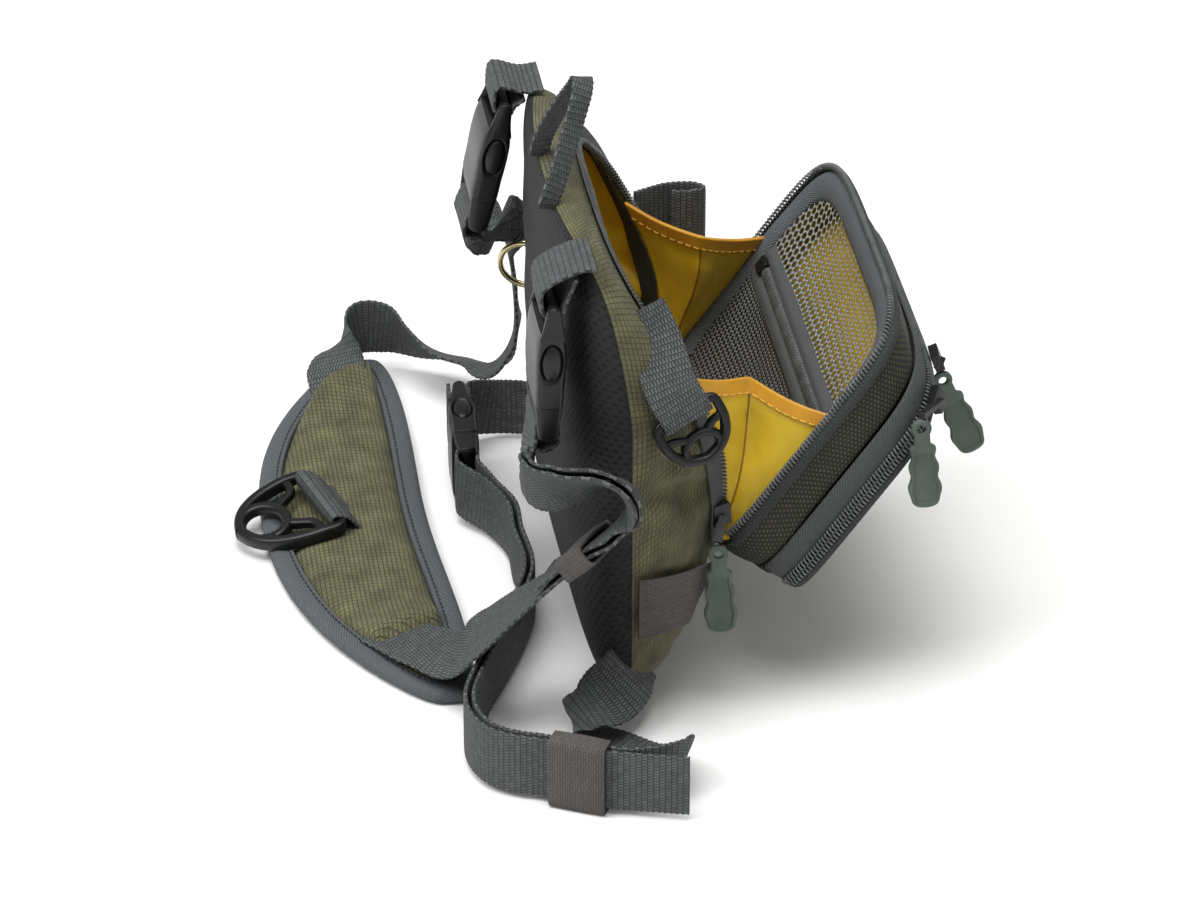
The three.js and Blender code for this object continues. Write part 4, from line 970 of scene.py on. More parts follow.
# Buckles: side-release buckles of black moulded acetal, fastened. Seen from the side each is a long spoon: a
# horn at the webbing's bar, an oval button in a dent, a joint line, and a plug that narrows to its own bar.
BUCKLE_AT = {
    # origin, width direction, length direction
    "near": ((-75, 6.8, 39), (1, 0, 0), (0, -0.05, 1)),
    "far": ((75, 12, 49), (1, 0, 0), (0, -0.22, 0.975)),
    "waist": ((86, 19, FLOOR + 16.8), (0, 0, 1), (1, -0.05, 0)),
}
SOCKET_THICK = np.array([
    # length, half thickness of the body
    (-4.6, 5.0),
    (-4.2, 5.5),
    (4, 5.7),
    (13, 6.0),
    (20, 5.6),
    (25.5, 4.4),
])
HORN_THICK = np.array([
    # length, half thickness of the side rails
    (23, 5.0),
    (28, 3.7),
    (33, 2.9),
    (35.8, 2.4),
    (36.6, 1.2),
])
PLUG_THICK = np.array([
    # length, half thickness of the side rails
    (-18.7, 1.8),
    (-18, 3.2),
    (-14, 4.1),
    (-9, 4.6),
    (-4.4, 5.0),
])
SOCKET_HALF = 16.4
PLUG_HALF = 15.4
BAR_HALF = 14.3
BUTTON_AT = 14.0
BUTTON_HALF = (7.4, 3.5, 1.9)
DENT_HALF = (8.6, 4.5)
DENT_DEEP = 1.5
# Moulded acetal: black, smooth, softly glossy, with a very faint moulding grain.
ACETAL = mottled(
    "black acetal", 0.36, "#0b0c0c", "#161818", (16.667, 4.0, 0.2, 0.8), (1.4286, 2.0), (0.12, 0.2),
    {"Specular IOR Level": 0.36},
)


def square_axes(origin, first, second):
    """Origin and three unit directions: the first, the second square to it, and the one across both."""
    first = unit(np.array(first, float))
    second = np.array(second, float)
    second = unit(second - first * (second @ first))
    return np.array(origin, float), first, second, np.cross(first, second)


def buckle(name):
    """Socket: body with a dent in each side, buttons, two rails and a bar. Plug: collar, two rails, a bar."""
    origin, width, length, thick = square_axes(*BUCKLE_AT[name])

    def rail(table, w, half, count=40, sides=20, power=3):
        """Tube along the length at an offset across, with the half thickness that a table gives."""
        at = np.linspace(table[0, 0], table[-1, 0], count)
        line = origin + width * w + length * at[:, None]
        return sweep(line, width, thick, half, smooth_table(table, at), sides, power)

    body = rail(SOCKET_THICK, 0, SOCKET_HALF, 90, 96, 6)
    edge = (body - origin) @ width
    along = ((body - origin) @ length - BUTTON_AT) / DENT_HALF[0]
    off = (body - origin) @ thick / DENT_HALF[1]
    dent = DENT_DEEP * np.clip((1 - off ** 2 - along ** 2) * 3, 0, 1) * (np.abs(edge) > 12)
    socket = [body - width * (np.sign(edge) * dent)[..., None]]
    collar = origin + length * np.linspace(-7.2, -4.0, 8)[:, None]
    plug = [sweep(collar, width, thick, PLUG_HALF, 4.7, 40, 6)]
    share = np.linspace(-1, 1, 24)
    dome = np.sqrt(np.maximum(0.0004, 1 - share ** 2))
    button_long, button_wide, button_rise = BUTTON_HALF
    for side in (-1, 1):
        seat = origin + width * side * PLUG_HALF + length * (BUTTON_AT + button_long * share)[:, None]
        socket.append(sweep(seat, width, thick, button_rise * dome, button_wide * dome, 24, 2.4))
        socket.append(rail(HORN_THICK, side * 14.7, 1.7))
        plug.append(rail(PLUG_THICK, side * 14.1, 1.8))
    across = width * np.linspace(-BAR_HALF, BAR_HALF, 8)[:, None]
    socket.append(sweep(origin + length * 34.3 + across, length, thick, 1.7, 2.2, 16, 3))
    plug.append(sweep(origin + length * -15.6 + across, length, thick, 2.6, 2.2, 16, 3))
    for half, grids in (("socket", socket), ("plug", plug)):
        dress(tubes(f"buckle_{name}_{half}_body", grids), "acetal", ACETAL, f"buckle_{name}_{half}")


for buckle_name in BUCKLE_AT:
    buckle(buckle_name)

# Webbing: 25 mm grey woven strap, ribbed across, with scalloped selvedges. The tabs and straps turn round the
# buckles' bars.
WEB_WIDE = 25.0
WEB_THICK = 1.6
WEB_RIB = 2.2
RIB_SWELL = 0.16
SAME_KNOT = 1e-4
BAR_LEVEL = 4.0
SOCKET_BAR = 32.6
PLUG_BAR = -12.6
BAR_TURN = [(1, 9), (1, 2), (0.8, -0.7), (0, -1.3), (-0.8, -0.7), (-1, 2), (-1, 9)]
TAB_X = 75.0


def route_curve(points, count):
    """Centripetal Catmull-Rom curve through points: Hermite pieces with root-length spacing of the knots."""
    ends = np.concatenate([[2 * points[0] - points[1]], points, [2 * points[-1] - points[-2]]])
    knots = ((np.diff(ends, axis=0) ** 2).sum(-1)) ** 0.25
    place = np.linspace(0, len(points) - 1, count)
    k = np.minimum(place.astype(int), len(points) - 2)
    t = (place - k)[:, None]
    p0, p1, p2, p3 = (ends[k + step] for step in range(4))
    d0, d1, d2 = (knots[k + step][:, None] for step in range(3))
    d1 = np.where(d1 < SAME_KNOT, 1.0, d1)
    d0 = np.where(d0 < SAME_KNOT, d1, d0)
    d2 = np.where(d2 < SAME_KNOT, d1, d2)
    m1 = ((p1 - p0) / d0 - (p2 - p0) / (d0 + d1) + (p2 - p1) / d1) * d1
    m2 = ((p2 - p1) / d1 - (p3 - p1) / (d1 + d2) + (p3 - p2) / d2) * d1
    a, b = 2 * p1 - 2 * p2 + m1 + m2, -3 * p1 + 3 * p2 - 2 * m1 - m2
    return ((a * t + b) * t + m1) * t + p1


def thick_weave(name, roughness, turn, cell, gap, uneven, colours, relief):
    """Thick woven band: rows of small floats with dark gaps, staggered row by row, in an uneven tone. cell is
    (length, row) of a float and gap the space between floats in mm, uneven is the share by which the tone
    changes, colours are two floats and their gap, and relief is (strength, depth in mm)."""
    made, tree, shader = material(name, roughness)
    size = cloth_size(tree, turn)
    first, second, mortar = (linear(code) for code in colours)
    floats = add(tree, "TexBrick", {
        "Vector": size, "Scale": 1.0, "Mortar Size": gap, "Mortar Smooth": 1.0,
        "Brick Width": cell[0], "Row Height": cell[1],
        "Color1": first, "Color2": second, "Mortar": mortar,
    }, None, offset=0.5)
    fuzz = add(tree, "TexNoise", {"Vector": size, "Scale": 0.3, "Detail": 3.0})
    tone = add(tree, "MapRange", {0: fuzz, 1: 0.3, 2: 0.7, 3: 1 - uneven, 4: 1 + uneven})
    colour = add(tree, "VectorMath", {0: floats.outputs["Color"], 1: tone}, operation="MULTIPLY")
    high = add(tree, "Math", {0: 1.0, 1: floats.outputs["Fac"]}, operation="SUBTRACT")
    finish_with(tree, shader, colour, high, *relief)
    return made


# Polyester webbing: thick ribs across the strap, each a row of small warp floats.
WEBBING = thick_weave(
    "grey ribbed webbing", 0.72, math.radians(90), (1.25, WEB_RIB), 0.3, 0.18,
    ("#4c4f50", "#5a5d5e", "#222425"), (0.8, 0.5),
)


def strap(
    node, route, width=WEB_WIDE, thick=WEB_THICK, finish=WEBBING, slot="webbing", end="web", rib=RIB_SWELL,
):
    """Strap along a route of [x, y, z, width direction] rows: a flat rounded section carried along the curve.
    Its ribs swell the thickness by a cosine of the length, and its edges are scalloped at the same pitch.
    A width direction that points against the one before it is turned round. The piece takes the CAD node's
    name and an end."""
    route = np.array(route, float)
    agree = (route[1:, 3:] * route[:-1, 3:]).sum(-1) >= 0
    route[1:, 3:] *= np.cumprod(np.where(agree, 1, -1))[:, None]
    rough = route_curve(route[:, :3], 60 * len(route))
    way = route_curve(route[:, 3:], 60 * len(route))
    middle, way = resample(rough, WEB_RIB / 5, way)
    ahead, way, normal = frames(middle, way)
    a, b = squared(np.arange(20) * 2 * np.pi / 20, 1.0, 1.0, 1.0, 7.0, 7.0)
    run = lengths(middle, 0)[:, None]
    wave = np.cos(run * 2 * np.pi / WEB_RIB)
    across = (a * (width / 2 + 0.8 * rib * wave * (np.abs(a) > 0.93)))[..., None]
    up = (b * thick / 2 * (1 + rib * wave))[..., None]
    points = middle[:, None] + way[:, None] * across + normal[:, None] * up
    v = np.concatenate([a, a[:1]]) * width / 2
    uv = np.stack(np.broadcast_arrays(run, v[None]), -1)
    piece = surface(f"{node}_{end}", points, uv, round_columns=True, ends=True)
    dress(piece, slot, finish, node)


def turned(axes, rows):
    """Route rows round a bar: pairs of distance along and distance off, with the bar's direction as width."""
    origin, way, along, off = axes
    return [[*(origin + along * step + off * level), *way] for step, level in rows]


def buckle_turn(name, bar, toward):
    """Rows of webbing round a bar of a buckle: level off its plane, length from the bar's edge."""
    rows = [(bar + step * toward, level * BAR_LEVEL) for level, step in BAR_TURN]
    return turned(square_axes(*BUCKLE_AT[name]), rows)


def shoulder_tab(side, name):
    """Tab from the top corner of the back seam, round the socket's bar and back under itself."""
    rows = [[side * TAB_X, y, z, 1, 0, 0] for y, z in ((-11, 88.6), (-4, 88), (-3.6, 84.9))]
    strap(f"tab_{name}", rows[:2] + buckle_turn(name, SOCKET_BAR, 1)[:0:-1] + rows[2:])


shoulder_tab(-1, "near")
shoulder_tab(1, "far")

HANG_WIDE = 9
HANG_WAY = (0.45, -0.85, -0.3)
HANG_LOOP = [
    # x, y, z
    (10, -2, 88),
    (9, -4, 96),
    (3, -9, 110),
    (-4, -14, 122),
    (-9, -16, 127.5),
    (-14, -15.5, 125),
    (-20, -11, 113),
    (-28, -5, 99),
    (-32.5, -1, 91),
    (-33, 0.5, 87),
]
strap("hang_loop", [[*p, *HANG_WAY] for p in HANG_LOOP], width=HANG_WIDE)

NECK_NEAR = [
    # x, y, z, width direction
    (-76, 12, 10, -0.95, 0, 0.3),
    (-83, 12.5, 4, -0.6, 0, 0.8),
    (-94, 9, 6, -0.4, 0.2, 0.9),
    (-103, 1, 12, -0.6, 0.2, 0.75),
    (-109, -9, 16, -0.8, 0.15, 0.55),
    (-112, -18, 12, -0.86, 0.1, 0.5),
    (-112, -22, 2, -0.86, 0.1, 0.5),
    (-110, -17, -8, -0.86, 0, 0.5),
    (-105, -6, -20, -0.86, 0, 0.5),
    (-98, 8, -35, -0.9, 0, 0.4),
    (-88, 21, -52, -0.95, 0, 0.25),
    (-75, 32, -70, -0.98, 0, 0.15),
    (-60, 41, -86, -1, 0, 0.1),
    (-44, 51, -91.6, -0.9, 0.3, 0),
    (-24, 63, -95.6, -0.7, 0.7, 0),
]
NECK_FAR = [
    # x, y, z, width direction
    (79, 9, 20, 0.9, 0, -0.4),
    (89, 5, 16, 0.8, 0, -0.6),
    (106, 1, 10, 0.86, -0.1, -0.5),
    (122, -3, -6, 0.88, -0.1, -0.45),
    (132, -7, -30, 0.88, -0.1, -0.45),
    (143, -8, -62, 0.88, -0.1, -0.45),
    (160, 0, -84, 0.88, -0.1, -0.45),
    (174, 15, -87, 0.75, -0.45, -0.45),
    (187, 29, -86, 0.45, -0.3, -0.85),
    (195.5, 40, -83, 0.1, -0.05, -1),
    (197, 50, -82.5, 0, 0.1, -1),
    (192, 58, -85, -0.1, 0.5, -0.85),
    (184, 62, -89.5, 0, 0.85, -0.5),
    (176, 62.6, -92, 0.1, 1, -0.1),
    (166, 61, -96.4, 0.1, 1, 0),
]
TAIL_ROWS = 10
TAIL_SPACE = 3.0


def beside(rows):
    """A second layer of a strap: each row moved square to the strap by the space between layers."""
    rows = np.array(rows, float)
    aside = unit(np.cross(unit(np.gradient(rows[:, :3], axis=0)), rows[:, 3:]))
    return np.concatenate([rows[:, :3] + aside * TAIL_SPACE, rows[:, 3:]], -1).tolist()


neck_tail = beside(NECK_NEAR[:TAIL_ROWS])[:0:-1]
strap("neck_strap_near", neck_tail + buckle_turn("near", PLUG_BAR, -1)[::-1] + NECK_NEAR)
strap("neck_strap_far", buckle_turn("far", PLUG_BAR, -1) + NECK_FAR)

# Waist belt: one length on edge from the far low corner to the buckle, and a long doubled one from the buckle
# to the near low corner, with its free end held by an elastic keeper.
BELT_Z = FLOOR + 14.6
UPRIGHT = (0, 0, 1)
BELT_FAR = [(95, -34, -84), (106, -33, -87), (119, -26, BELT_Z), (129, -12, BELT_Z), (132, 2, BELT_Z)]
BELT_RUN = [
    # x, y of the layer that comes from the pack
    (52, 11),
    (34, 5),
    (14, 5),
    (-13, 4),
    (-37, 11),
    (-59, 20),
    (-84, 31),
    (-105, 38),
    (-118, 37.5),
    (-128, 33),
    (-134, 25),
    (-138, 15),
    (-145, 3),
    (-149.5, -8),
]
BELT_BACK = [
    # x, y, z, width direction
    (-151.5, -17, BELT_Z, 0, 0, 1),
    (-151.5, -25, BELT_Z, 0.05, -0.05, 1),
    (-148, -32, -89.5, 0.15, -0.2, 0.95),
    (-141, -34.5, -92, 0.3, -0.45, 0.8),
    (-131, -29.5, -97.6, 0.45, -0.78, 0.4),
    (-120, -21.5, -101.2, 0.5, -0.86, 0.05),
    (-110.5, -12, -101.6, 0.62, -0.78, 0),
    (-105, -4, -100.4, 0.69, -0.7, -0.1),
    (-102.5, -0.4, -96, 0.8, -0.1, -0.5),
    (-101, -2.4, -91.8, 0.75, 0.6, -0.25),
    (-99.5, -8, -89.4, 0.65, 0.72, 0),
    (-97.5, -13.5, -87, 0.5, 0.75, 0.4),
    (-94.5, -19, -84, 0.3, 0.6, 0.7),
    (-90, -23.5, -81, 0.2, 0.5, 0.8),
    (-84, -26, -79, 0.2, 0.5, 0.8),
]
BELT_END = (-160.5, -35, BELT_Z, *UPRIGHT)
strap("belt_far", [[*p, *UPRIGHT] for p in BELT_FAR] + buckle_turn("waist", SOCKET_BAR, 1)[::-1])
belt_run = [[x, y, BELT_Z, *UPRIGHT] for x, y in BELT_RUN]
belt_tail = [BELT_END] + beside(belt_run)[::-1]
strap("belt_near", belt_tail + buckle_turn("waist", PLUG_BAR, -1) + belt_run + BELT_BACK)

# Elastic: taupe knitted elastic with fine ribs along it. Two sleeves hold the free ends of straps, and a band
# is sewn across the near side panel.
KEEPER_WIDE = 26.4
KEEPER_DEEP = 7.0
KEEPER_WALL = 1.2
KEEPER_SQUARE = 9
KEEPER_SECTION = np.array([
    # share along, growth outwards
    (-0.5, 0),
    (-0.5, 0.7),
    (-0.49, 1),
    (-0.25, 1.1),
    (0, 1.15),
    (0.25, 1.1),
    (0.49, 1),
    (0.5, 0.7),
    (0.5, 0),
    (0, 0),
])
BAND_Z = -52.0
BAND_HALF = 8
BAND_LIFT = 2.2
BAND_SHARES = (0.04, 0.2, 0.4, 0.6, 0.78)
# Knitted elastic: fine lengthwise ribs on a dull taupe ground.
ELASTIC = thick_weave(
    "taupe knitted elastic", 0.88, 0.0, (3.0, 1.0), 0.2, 0.0, ("#504c4a", "#595553", "#322f2e"), (0.6, 0.35),
)


def keeper(node, rows, at, length):
    """Flat sleeve round both layers of a strap: a squared oval ring carried along it, rounded at its rims."""
    rows = np.array(rows, float)
    middle, ahead, way, off = square_axes(rows[at, :3], rows[at + 1, :3] - rows[at - 1, :3], rows[at, 3:])
    share, grow = KEEPER_SECTION.T[:, :, None]
    half_deep = KEEPER_DEEP / 2
    turn = even_turns(96, KEEPER_WIDE / 2, half_deep, half_deep, KEEPER_SQUARE, KEEPER_SQUARE)
    a, b = squared(turn[None], 1, 1, 1, KEEPER_SQUARE, KEEPER_SQUARE)
    wide = a * (KEEPER_WIDE / 2 + KEEPER_WALL * grow)
    deep = b * (half_deep + KEEPER_WALL * grow) + TAIL_SPACE / 2
    along = share * length + 0 * turn
    points = middle + ahead * along[..., None] + way * wide[..., None] + off * deep[..., None]
    u = lengths(wrapped(points)[4:5], 1)
    uv = np.stack(np.broadcast_arrays(u, wrapped(along)), -1)
    piece = surface(f"{node}_band", points, uv, round_rows=True, round_columns=True)
    dress(piece, "elastic", ELASTIC, node)


def panel_point(side, height, share, lift):
    """Point on a side panel at a height, lifted off it, found on a fine run of angles."""
    angle = np.pi * (0.5 - side * np.linspace(0.05, 0.95, 4000))
    line = shell(angle, share + 0 * angle)
    k = np.abs(line[:, 2] - height).argmin()
    step = np.array([-0.02, 0.02])
    along = np.diff(shell(angle[k] + 0 * step, share + step), axis=0)[0]
    about = np.diff(shell(angle[k] + step, share + 0 * step), axis=0)[0]
    normal = unit(np.cross(along, about))
    return line[k] + normal * np.sign(normal[0] * side) * lift


def side_band():
    """Band across the near panel, as wide as the webbing, with its width along the panel."""
    rows = []
    for share in BAND_SHARES:
        middle, upper, lower = (
            panel_point(-1, BAND_Z + z, share, BAND_LIFT) for z in (0, BAND_HALF, -BAND_HALF)
        )
        rows.append([*middle, *(upper - lower)])
    strap("keeper_side", rows, thick=1.4, finish=ELASTIC, slot="elastic", end="band", rib=0.0)


keeper("keeper_neck", NECK_NEAR, 8, 13)
keeper("keeper_belt", belt_run, 12, 22)
side_band()

# Neck pad: a flat padded crescent of the olive ripstop, bound round its rim with grey twill. Its cover ends
# short of both ends in slanting edges that the neck strap comes out of.
NECK_LONG = 268.0
NECK_HALF = 33.0
NECK_TAPER = 0.55
NECK_BOW = 24.0
NECK_SKEW = 4.0
NECK_AT = (63.0, 70.0)
NECK_Z = FLOOR + 0.4
NECK_RIM = 9.0
NECK_SQUARE = 4
NECK_TURNS = even_turns(480, NECK_LONG / 2, NECK_HALF, NECK_HALF, NECK_SQUARE, NECK_SQUARE)
NECK_ROWS = (34, 8)
PAD_EDGE = 0.6
PAD_RISE = 5.2
PAD_CROWN = 2.2
STRAP_RISE = 5.6
COVER_DROP = 1.3
COVER_EDGES = [
    # way inwards, a place on the edge
    (0.93, 0.37, -37, 72),
    (-0.82, -0.58, 176, 62.6),
]
RIM_SECTION = np.array([
    # inset, height
    (9.2, 3.4),
    (9.2, 5.4),
    (8.8, 6.1),
    (8.0, 6.2),
    (7.2, 5.7),
    (6.4, 5.8),
    (4, 5.9),
    (2, 5.6),
    (1, 5.1),
    (0.2, 4.0),
    (0, 2.8),
    (0.2, 1.4),
    (1.0, 0.5),
    (3, 0.1),
    (6, 0),
    (9, 0),
    (9, 1.6),
])
DARK_THREAD = sewing_thread("charcoal thread", "#24272a")


def pad_middle(u):
    """Middle line of the crescent: bowed by the square of the place along it."""
    y = NECK_AT[1] - NECK_BOW * u * u + NECK_SKEW * u
    return np.stack([NECK_AT[0] + u * NECK_LONG / 2, y, NECK_Z + 0 * u], -1)


def pad_ring(angle, inset, height, share=1.0):
    """Ring of the pad at an inset from its outline, a height, and a share of the way out from its middle."""
    c, s = squared(angle, 1, 1, 1, NECK_SQUARE, NECK_SQUARE)
    u = c * (1 - 2 * inset / NECK_LONG)
    half = NECK_HALF * (1 - NECK_TAPER * np.abs(u) ** 2.6) - inset
    rim = pad_middle(u)
    rim[..., 1] += half * s
    spine = pad_middle(u * 0.94)
    points = spine + (rim - spine) * np.asarray(share)[..., None]
    points[..., 2] += height
    return points


def neck_pad():
    """Crowned top, flat base. The cover rises over both strap ends, and drops at its slanting edges."""
    top_rows, base_rows = NECK_ROWS
    share = np.concatenate([np.linspace(0, 1, top_rows), np.linspace(1, 0, base_rows)])[:, None]
    top = (np.arange(len(share)) < top_rows)[:, None]
    angle = NECK_TURNS[None] + 0 * share
    crown = PAD_EDGE + PAD_RISE * np.maximum(0, 1 - share ** 9) + PAD_CROWN * (1 - share ** 2.4)
    points = pad_ring(angle, NECK_RIM - 1.0 + 0 * angle, np.where(top, crown, 0.2), share + 0 * angle)
    x, y = points[..., 0], points[..., 1]
    creases = crumple(x, y, 9.0, 0.5, 17) + crumple(x, y, 24.0, 0.5, 5)
    past = np.min([in_x * (x - at_x) + in_y * (y - at_y) for in_x, in_y, at_x, at_y in COVER_EDGES], 0)
    cover = 1 / (1 + np.exp(np.clip(-past / 0.6, -40, 40)))
    rise = STRAP_RISE * np.exp(-(np.maximum(0, past - 3) / 15) ** 2)
    step = cover * rise - COVER_DROP * (1 - cover)
    points[..., 2] += top * (creases + step) * np.minimum(1, (1 - share) * 9)
    piece = surface("neck_pad_cloth", points, wrapped(points[..., :2]), round_columns=True)
    dress(piece, "ripstop", RIPSTOP, "neck_pad")


def neck_binding():
    """Folded tape over the rim: a rounded section from the top inset round the edge to the base, stitched."""
    inset, height = RIM_SECTION.T[:, :, None]
    angle = NECK_TURNS[None] + 0 * inset
    points = pad_ring(angle, inset + 0 * angle, height + 0 * angle)
    points[..., 2] += (height > 5) * crumple(points[..., 0], points[..., 1], 5.0, 0.18, 9)
    piece = surface("neck_pad_rim", points, ring_map(points), round_rows=True, round_columns=True)
    dress(piece, "binding", TAPE_BINDING, "neck_pad_binding")
    line = wrapped(points)[4] + np.array([0, 0, 0.25])
    stitches("neck_pad_stitches", line, np.array(UPRIGHT) + 0 * line, DARK_THREAD, "binding", 3.0, 0.34)


neck_pad()
neck_binding()

# Rings: black acetal rings moulded as bars. A deep rim runs round from the webbing's bar, an oval loop stands
# at the far end, and a bowed strut carries the loop. Each swings in a turn of webbing. A brass wire ring
# hangs beside them.
RINGS = {
    # origin, bar direction, reach direction, half width, reach, depth of the bar, slot
    "neck": ((66, 80, -89), (-0.93, -0.3, -0.05), (-0.27, 0.94, -0.2), 22.5, 37.0, 4.0, 4.8),
    "side": ((-93, -43, 29), (0.2, -0.85, 0.4), (-0.12, -0.35, -0.93), 14.5, 21.0, 3.4, 4.4),
}
LOOP_AT = 0.66
LOOP_HALF = (0.48, 0.25)
NECK_TOP = NECK_Z + 8.0


def ring_turn(name, level, run):
    """Rows of webbing round a ring's bar, from a run behind the bar and back to it."""
    deep = RINGS[name][5]
    rows = [
        # reach, share of the level
        (-deep - run, 0.55),
        (-deep - 1, 0.9),
        (0.7, 0.88),
        (2, 0),
        (0.7, -0.88),
        (-deep - 1, -1),
        (-deep - run, -0.55),
    ]
    return turned(square_axes(*RINGS[name][:3]), [(step, share * level) for step, share in rows])


def moulded_ring(name, wall):
    """Rim, strut and loop as tubes along lines in the ring's plane, each with its half width and depth."""
    origin, first, reach, off = square_axes(*RINGS[name][:3])
    half, long, deep, slot = RINGS[name][3:]

    def bar(x, y, wide, tall):
        """Tube along a line of (x, y) in the plane."""
        line = origin + first * x[:, None] + reach * y[:, None]
        ahead, plane, side = frames(line, off + 0 * line)
        return sweep(line, side, plane, wide, tall, 20, 3)

    t = np.linspace(0, 1, 30)
    bow_x = (1 - t) ** 2 * half + 2 * t * (1 - t) * half * 0.9
    bow_y = (1 - t) ** 2 * (slot + 2) + 2 * t * (1 - t) * long * 0.95 + t * t * long
    x = np.concatenate([[0, half * 0.5, half * 0.88, half, half], bow_x])
    y = np.concatenate([[-deep / 2, -deep / 2, -deep / 2, -deep * 0.2, slot * 0.5], bow_y])
    x = np.concatenate([x, -x[-2::-1]])
    y = np.concatenate([y, y[-2::-1]])
    rim = np.stack([x - np.sign(x) * wall, y - wall * np.clip(y / long, 0, 1)], -1)
    rim = resample(rim, 0.8)[0]
    for _ in range(6):
        rim[1:-1] = (rim[:-2] + 2 * rim[1:-1] + rim[2:]) / 4
    tall = np.interp(rim[:, 1], [-1, slot + 2], [deep / 2, deep / 2 + 0.9])
    turn = np.linspace(0, 2 * np.pi, 49)
    loop_y, loop_x_half, loop_y_half = long * LOOP_AT, half * LOOP_HALF[0], long * LOOP_HALF[1]
    loop_low = loop_y - loop_y_half
    strut = np.array([
        # x, y
        (-half + wall, slot + 2.0),
        (-half * 0.55, slot + 2.6),
        (-half * 0.25, loop_low + 0.4),
        (0, loop_low - 0.2),
        (half * 0.25, loop_low + 0.4),
        (half * 0.55, slot + 2.6),
        (half - wall, slot + 2.0),
    ])
    strut = route_curve(strut, 60)
    grids = [
        bar(*rim.T, wall, tall),
        bar(loop_x_half * np.cos(turn), loop_y + loop_y_half * np.sin(turn), wall * 0.9, deep / 2 + 0.5),
        bar(*strut.T, wall * 0.8, deep / 2),
    ]
    piece = tubes(f"{name}_ring_moulding", grids)
    dress(piece, "acetal", ACETAL, f"{name}_ring", body=f"{name}_ring")


moulded_ring("neck", 2.4)
moulded_ring("side", 1.8)
neck_loop = ring_turn("neck", 4.0, 8)
for loop_row, loop_height in ((0, -1.0), (1, 0.6), (-2, 7.4), (-1, -1.0)):
    neck_loop[loop_row][2] = NECK_TOP + loop_height
strap("neck_ring_loop", neck_loop, width=37)
side_turn = ring_turn("side", 3.6, 9)[::-1]
side_sewn = [[*panel_point(-1, height, 0.68, 1.9), *side_turn[0][3:]] for height in (66, 57)]
strap("side_tab_near", side_sewn + side_turn, width=20)
FAR_TAB = [
    # x, y, z
    (88, -63, 20),
    (87, -74, 20),
    (83, -77, 20),
    (80.5, -71, 20),
    (81.5, -64, 20),
]
far_tab_sewn = panel_point(1, 21, 0.86, 3)
far_tab_sewn[2] = FAR_TAB[0][2]
strap("side_tab_far", [[*p, *UPRIGHT] for p in [far_tab_sewn, *FAR_TAB]])

WIRE_RING = 10.3
WIRE_THICK = 1.25
WIRE_TURN = [(8, 1.1), (1, 2.5), (-2.8, 1.9), (-3.7, 0), (-2.8, -1.9), (1, -2.5), (8, -1.1)]
# Brass-plated wire: warm pale metal, polished, with faint tarnish.
BRASS = mottled(
    "brass-plated steel", 0.24, "#a8976a", "#d8cda6", (7.143, 3.0, 0.2, 0.8), (7.143, 3.0), (0.05, 0.1),
    {"Metallic": 1.0},
)


def wire_ring():
    """Torus: middle + (R + r cos b)(east cos a + north sin a) + r sin b axis, and the tab it hangs in."""
    middle, east, north, axis = square_axes((99.7, -8, -6), (-0.32, -0.84, 0.45), (0, 0.47, 0.88))
    a = np.linspace(0, 2 * np.pi, 97)[:, None]
    out = east * np.cos(a) + north * np.sin(a)
    grid = sweep(middle + out * WIRE_RING, out, axis, WIRE_THICK, WIRE_THICK, 18, 2)
    dress(tubes("metal_ring_wire", [grid]), "brass", BRASS, "metal_ring")
    rows = turned((middle + east * WIRE_RING, north, east, axis), WIRE_TURN)
    strap("metal_ring_tab", rows, width=8, thick=1.2)


wire_ring()

# Zip pulls: soft moulded rubber tongues with a raised border and wavy sides. Each hangs by its eye from the
# black acetal slider of a zip.
PULL_FACE = np.array([-0.86, 0.12, 0.5])
PULL_LONG = 34.0
PULL_NECK = 8
PULL_FOOT = 6.2
PULL_EYE = 2.7
PULLS = {
    # eye, way it hangs
    "pocket_a": ((-51, -147.4, 13), (0, -0.39, -0.92)),
    "pocket_b": ((-84.5, -133, 12), (0, -0.08, -1)),
    "mouth": ((-88, -56.5, -34), (0, -0.05, -1)),
}
SLIDER_EDGE = 0.9
SLIDER_MERGE = 0.02
SLIDER_CORNER = 28
# Moulded rubber: grey-green, matt, with a fine even grain.
RUBBER = mottled(
    "grey-green moulded rubber", 0.6, "#3c463f", "#4e5a52", (11.111, 2.0, 0.2, 0.8), (1.111, 2.0),
    (0.25, 0.2),
)


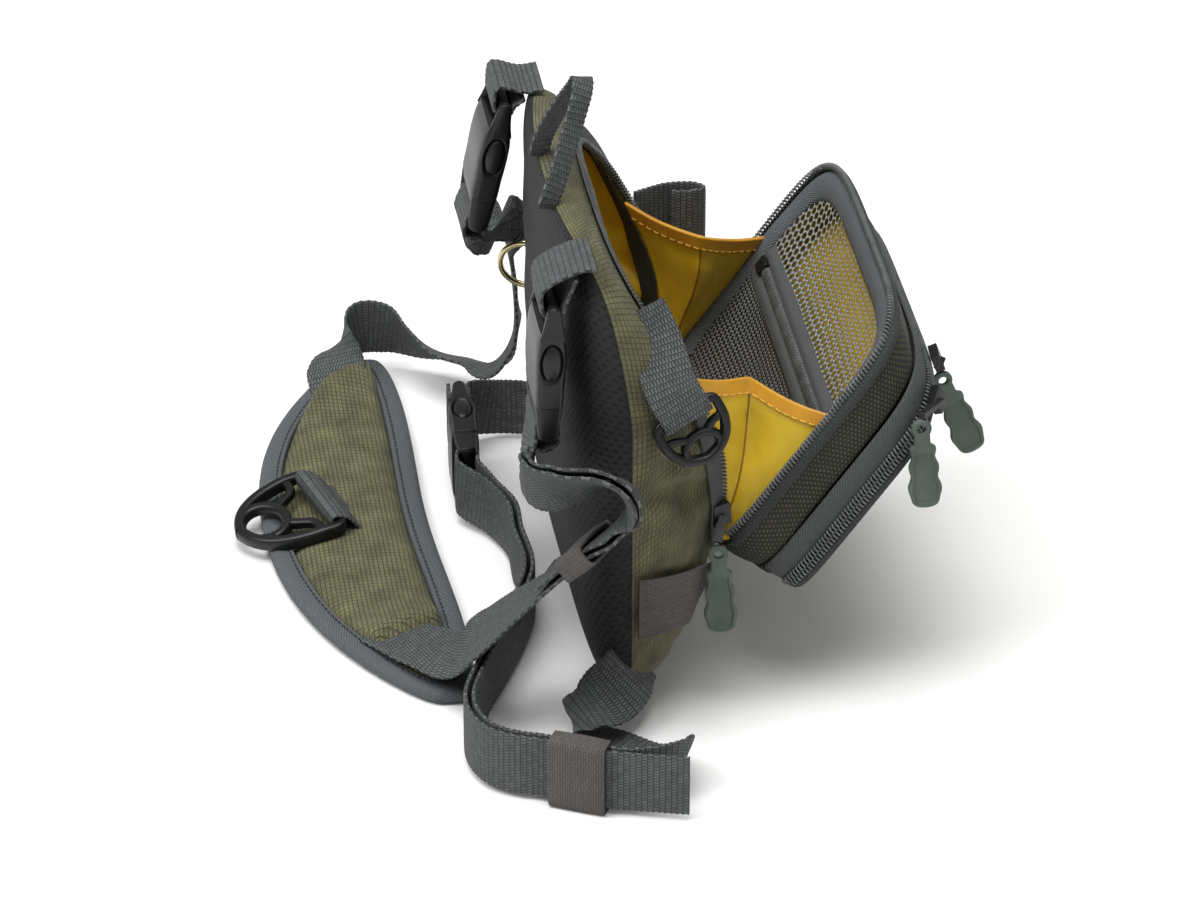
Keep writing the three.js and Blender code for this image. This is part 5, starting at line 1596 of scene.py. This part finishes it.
def slider(node):
    """Keeps a CAD slider's shape and gives it moulded edges: its corners are merged, then rounded."""
    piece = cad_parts[node]
    piece.data.materials.clear()
    piece.data.materials.append(ACETAL)
    piece.modifiers.new("merged", "WELD").merge_threshold = SLIDER_MERGE * MM
    bevel = piece.modifiers.new("edges", "BEVEL")
    bevel.width = SLIDER_EDGE * MM
    bevel.segments = 3
    bevel.limit_method = "ANGLE"
    bevel.angle_limit = math.radians(SLIDER_CORNER)
    piece.modifiers.new("soft", "WEIGHTED_NORMAL").keep_sharp = False
    piece.data.polygons.foreach_set("use_smooth", np.ones(len(piece.data.polygons), bool))


def pull(name):
    """Tongue: width 3 at the neck, then 4.6 growing to 6.6 with three waves, and a round foot. The face
    inside the border is sunk. The eye is a flat ring."""
    eye, down = (np.array(v, float) for v in PULLS[name])
    down = unit(down)
    across = unit(np.cross(down, PULL_FACE))
    face = np.cross(across, down)
    d = np.linspace(2.6, PULL_LONG, 110)
    share = np.clip((d - PULL_NECK) / (PULL_LONG - PULL_NECK), 0, 1)
    shoulder = 1 / (1 + np.exp(-(d - 7.6) / 0.35))
    wide = 3.0 + shoulder * (1.6 + 2.0 * share + 0.45 * np.cos(6 * np.pi * share))
    past = np.clip((d - PULL_LONG + PULL_FOOT) / PULL_FOOT, 0, 1)
    round_off = np.sqrt(np.maximum(0.002, 1 - past ** 2))
    tall = (1.25 + 0.35 * shoulder) * np.minimum(1, 0.35 + round_off)
    grid = sweep(eye + down * d[:, None], across, face, wide * round_off, tall, 96, 5)
    side = np.abs((grid - eye) @ across) / (wide * round_off)[:, None]
    ends = np.clip((d - 10) * 1.2, 0, 1) * np.clip((PULL_LONG - 1.8 - d) * 1.2, 0, 1)
    sunk = np.clip((0.76 - side) * 12, 0, 1) * ends[:, None]
    off = (grid - eye) @ face
    grid = grid - face * (off * 0.5 * sunk)[..., None]
    turn = np.linspace(0, 2 * np.pi, 41)[:, None]
    out = across * np.cos(turn) + down * np.sin(turn)
    ring = sweep(eye + out * PULL_EYE, out, face, 1.1, 1.3, 14, 3)
    dress(tubes(f"pull_{name}_tongue", [grid, ring]), "rubber", RUBBER, f"pull_{name}")
    slider(f"slider_{name}")


for pull_name in PULLS:
    pull(pull_name)
slider("slider_inner")
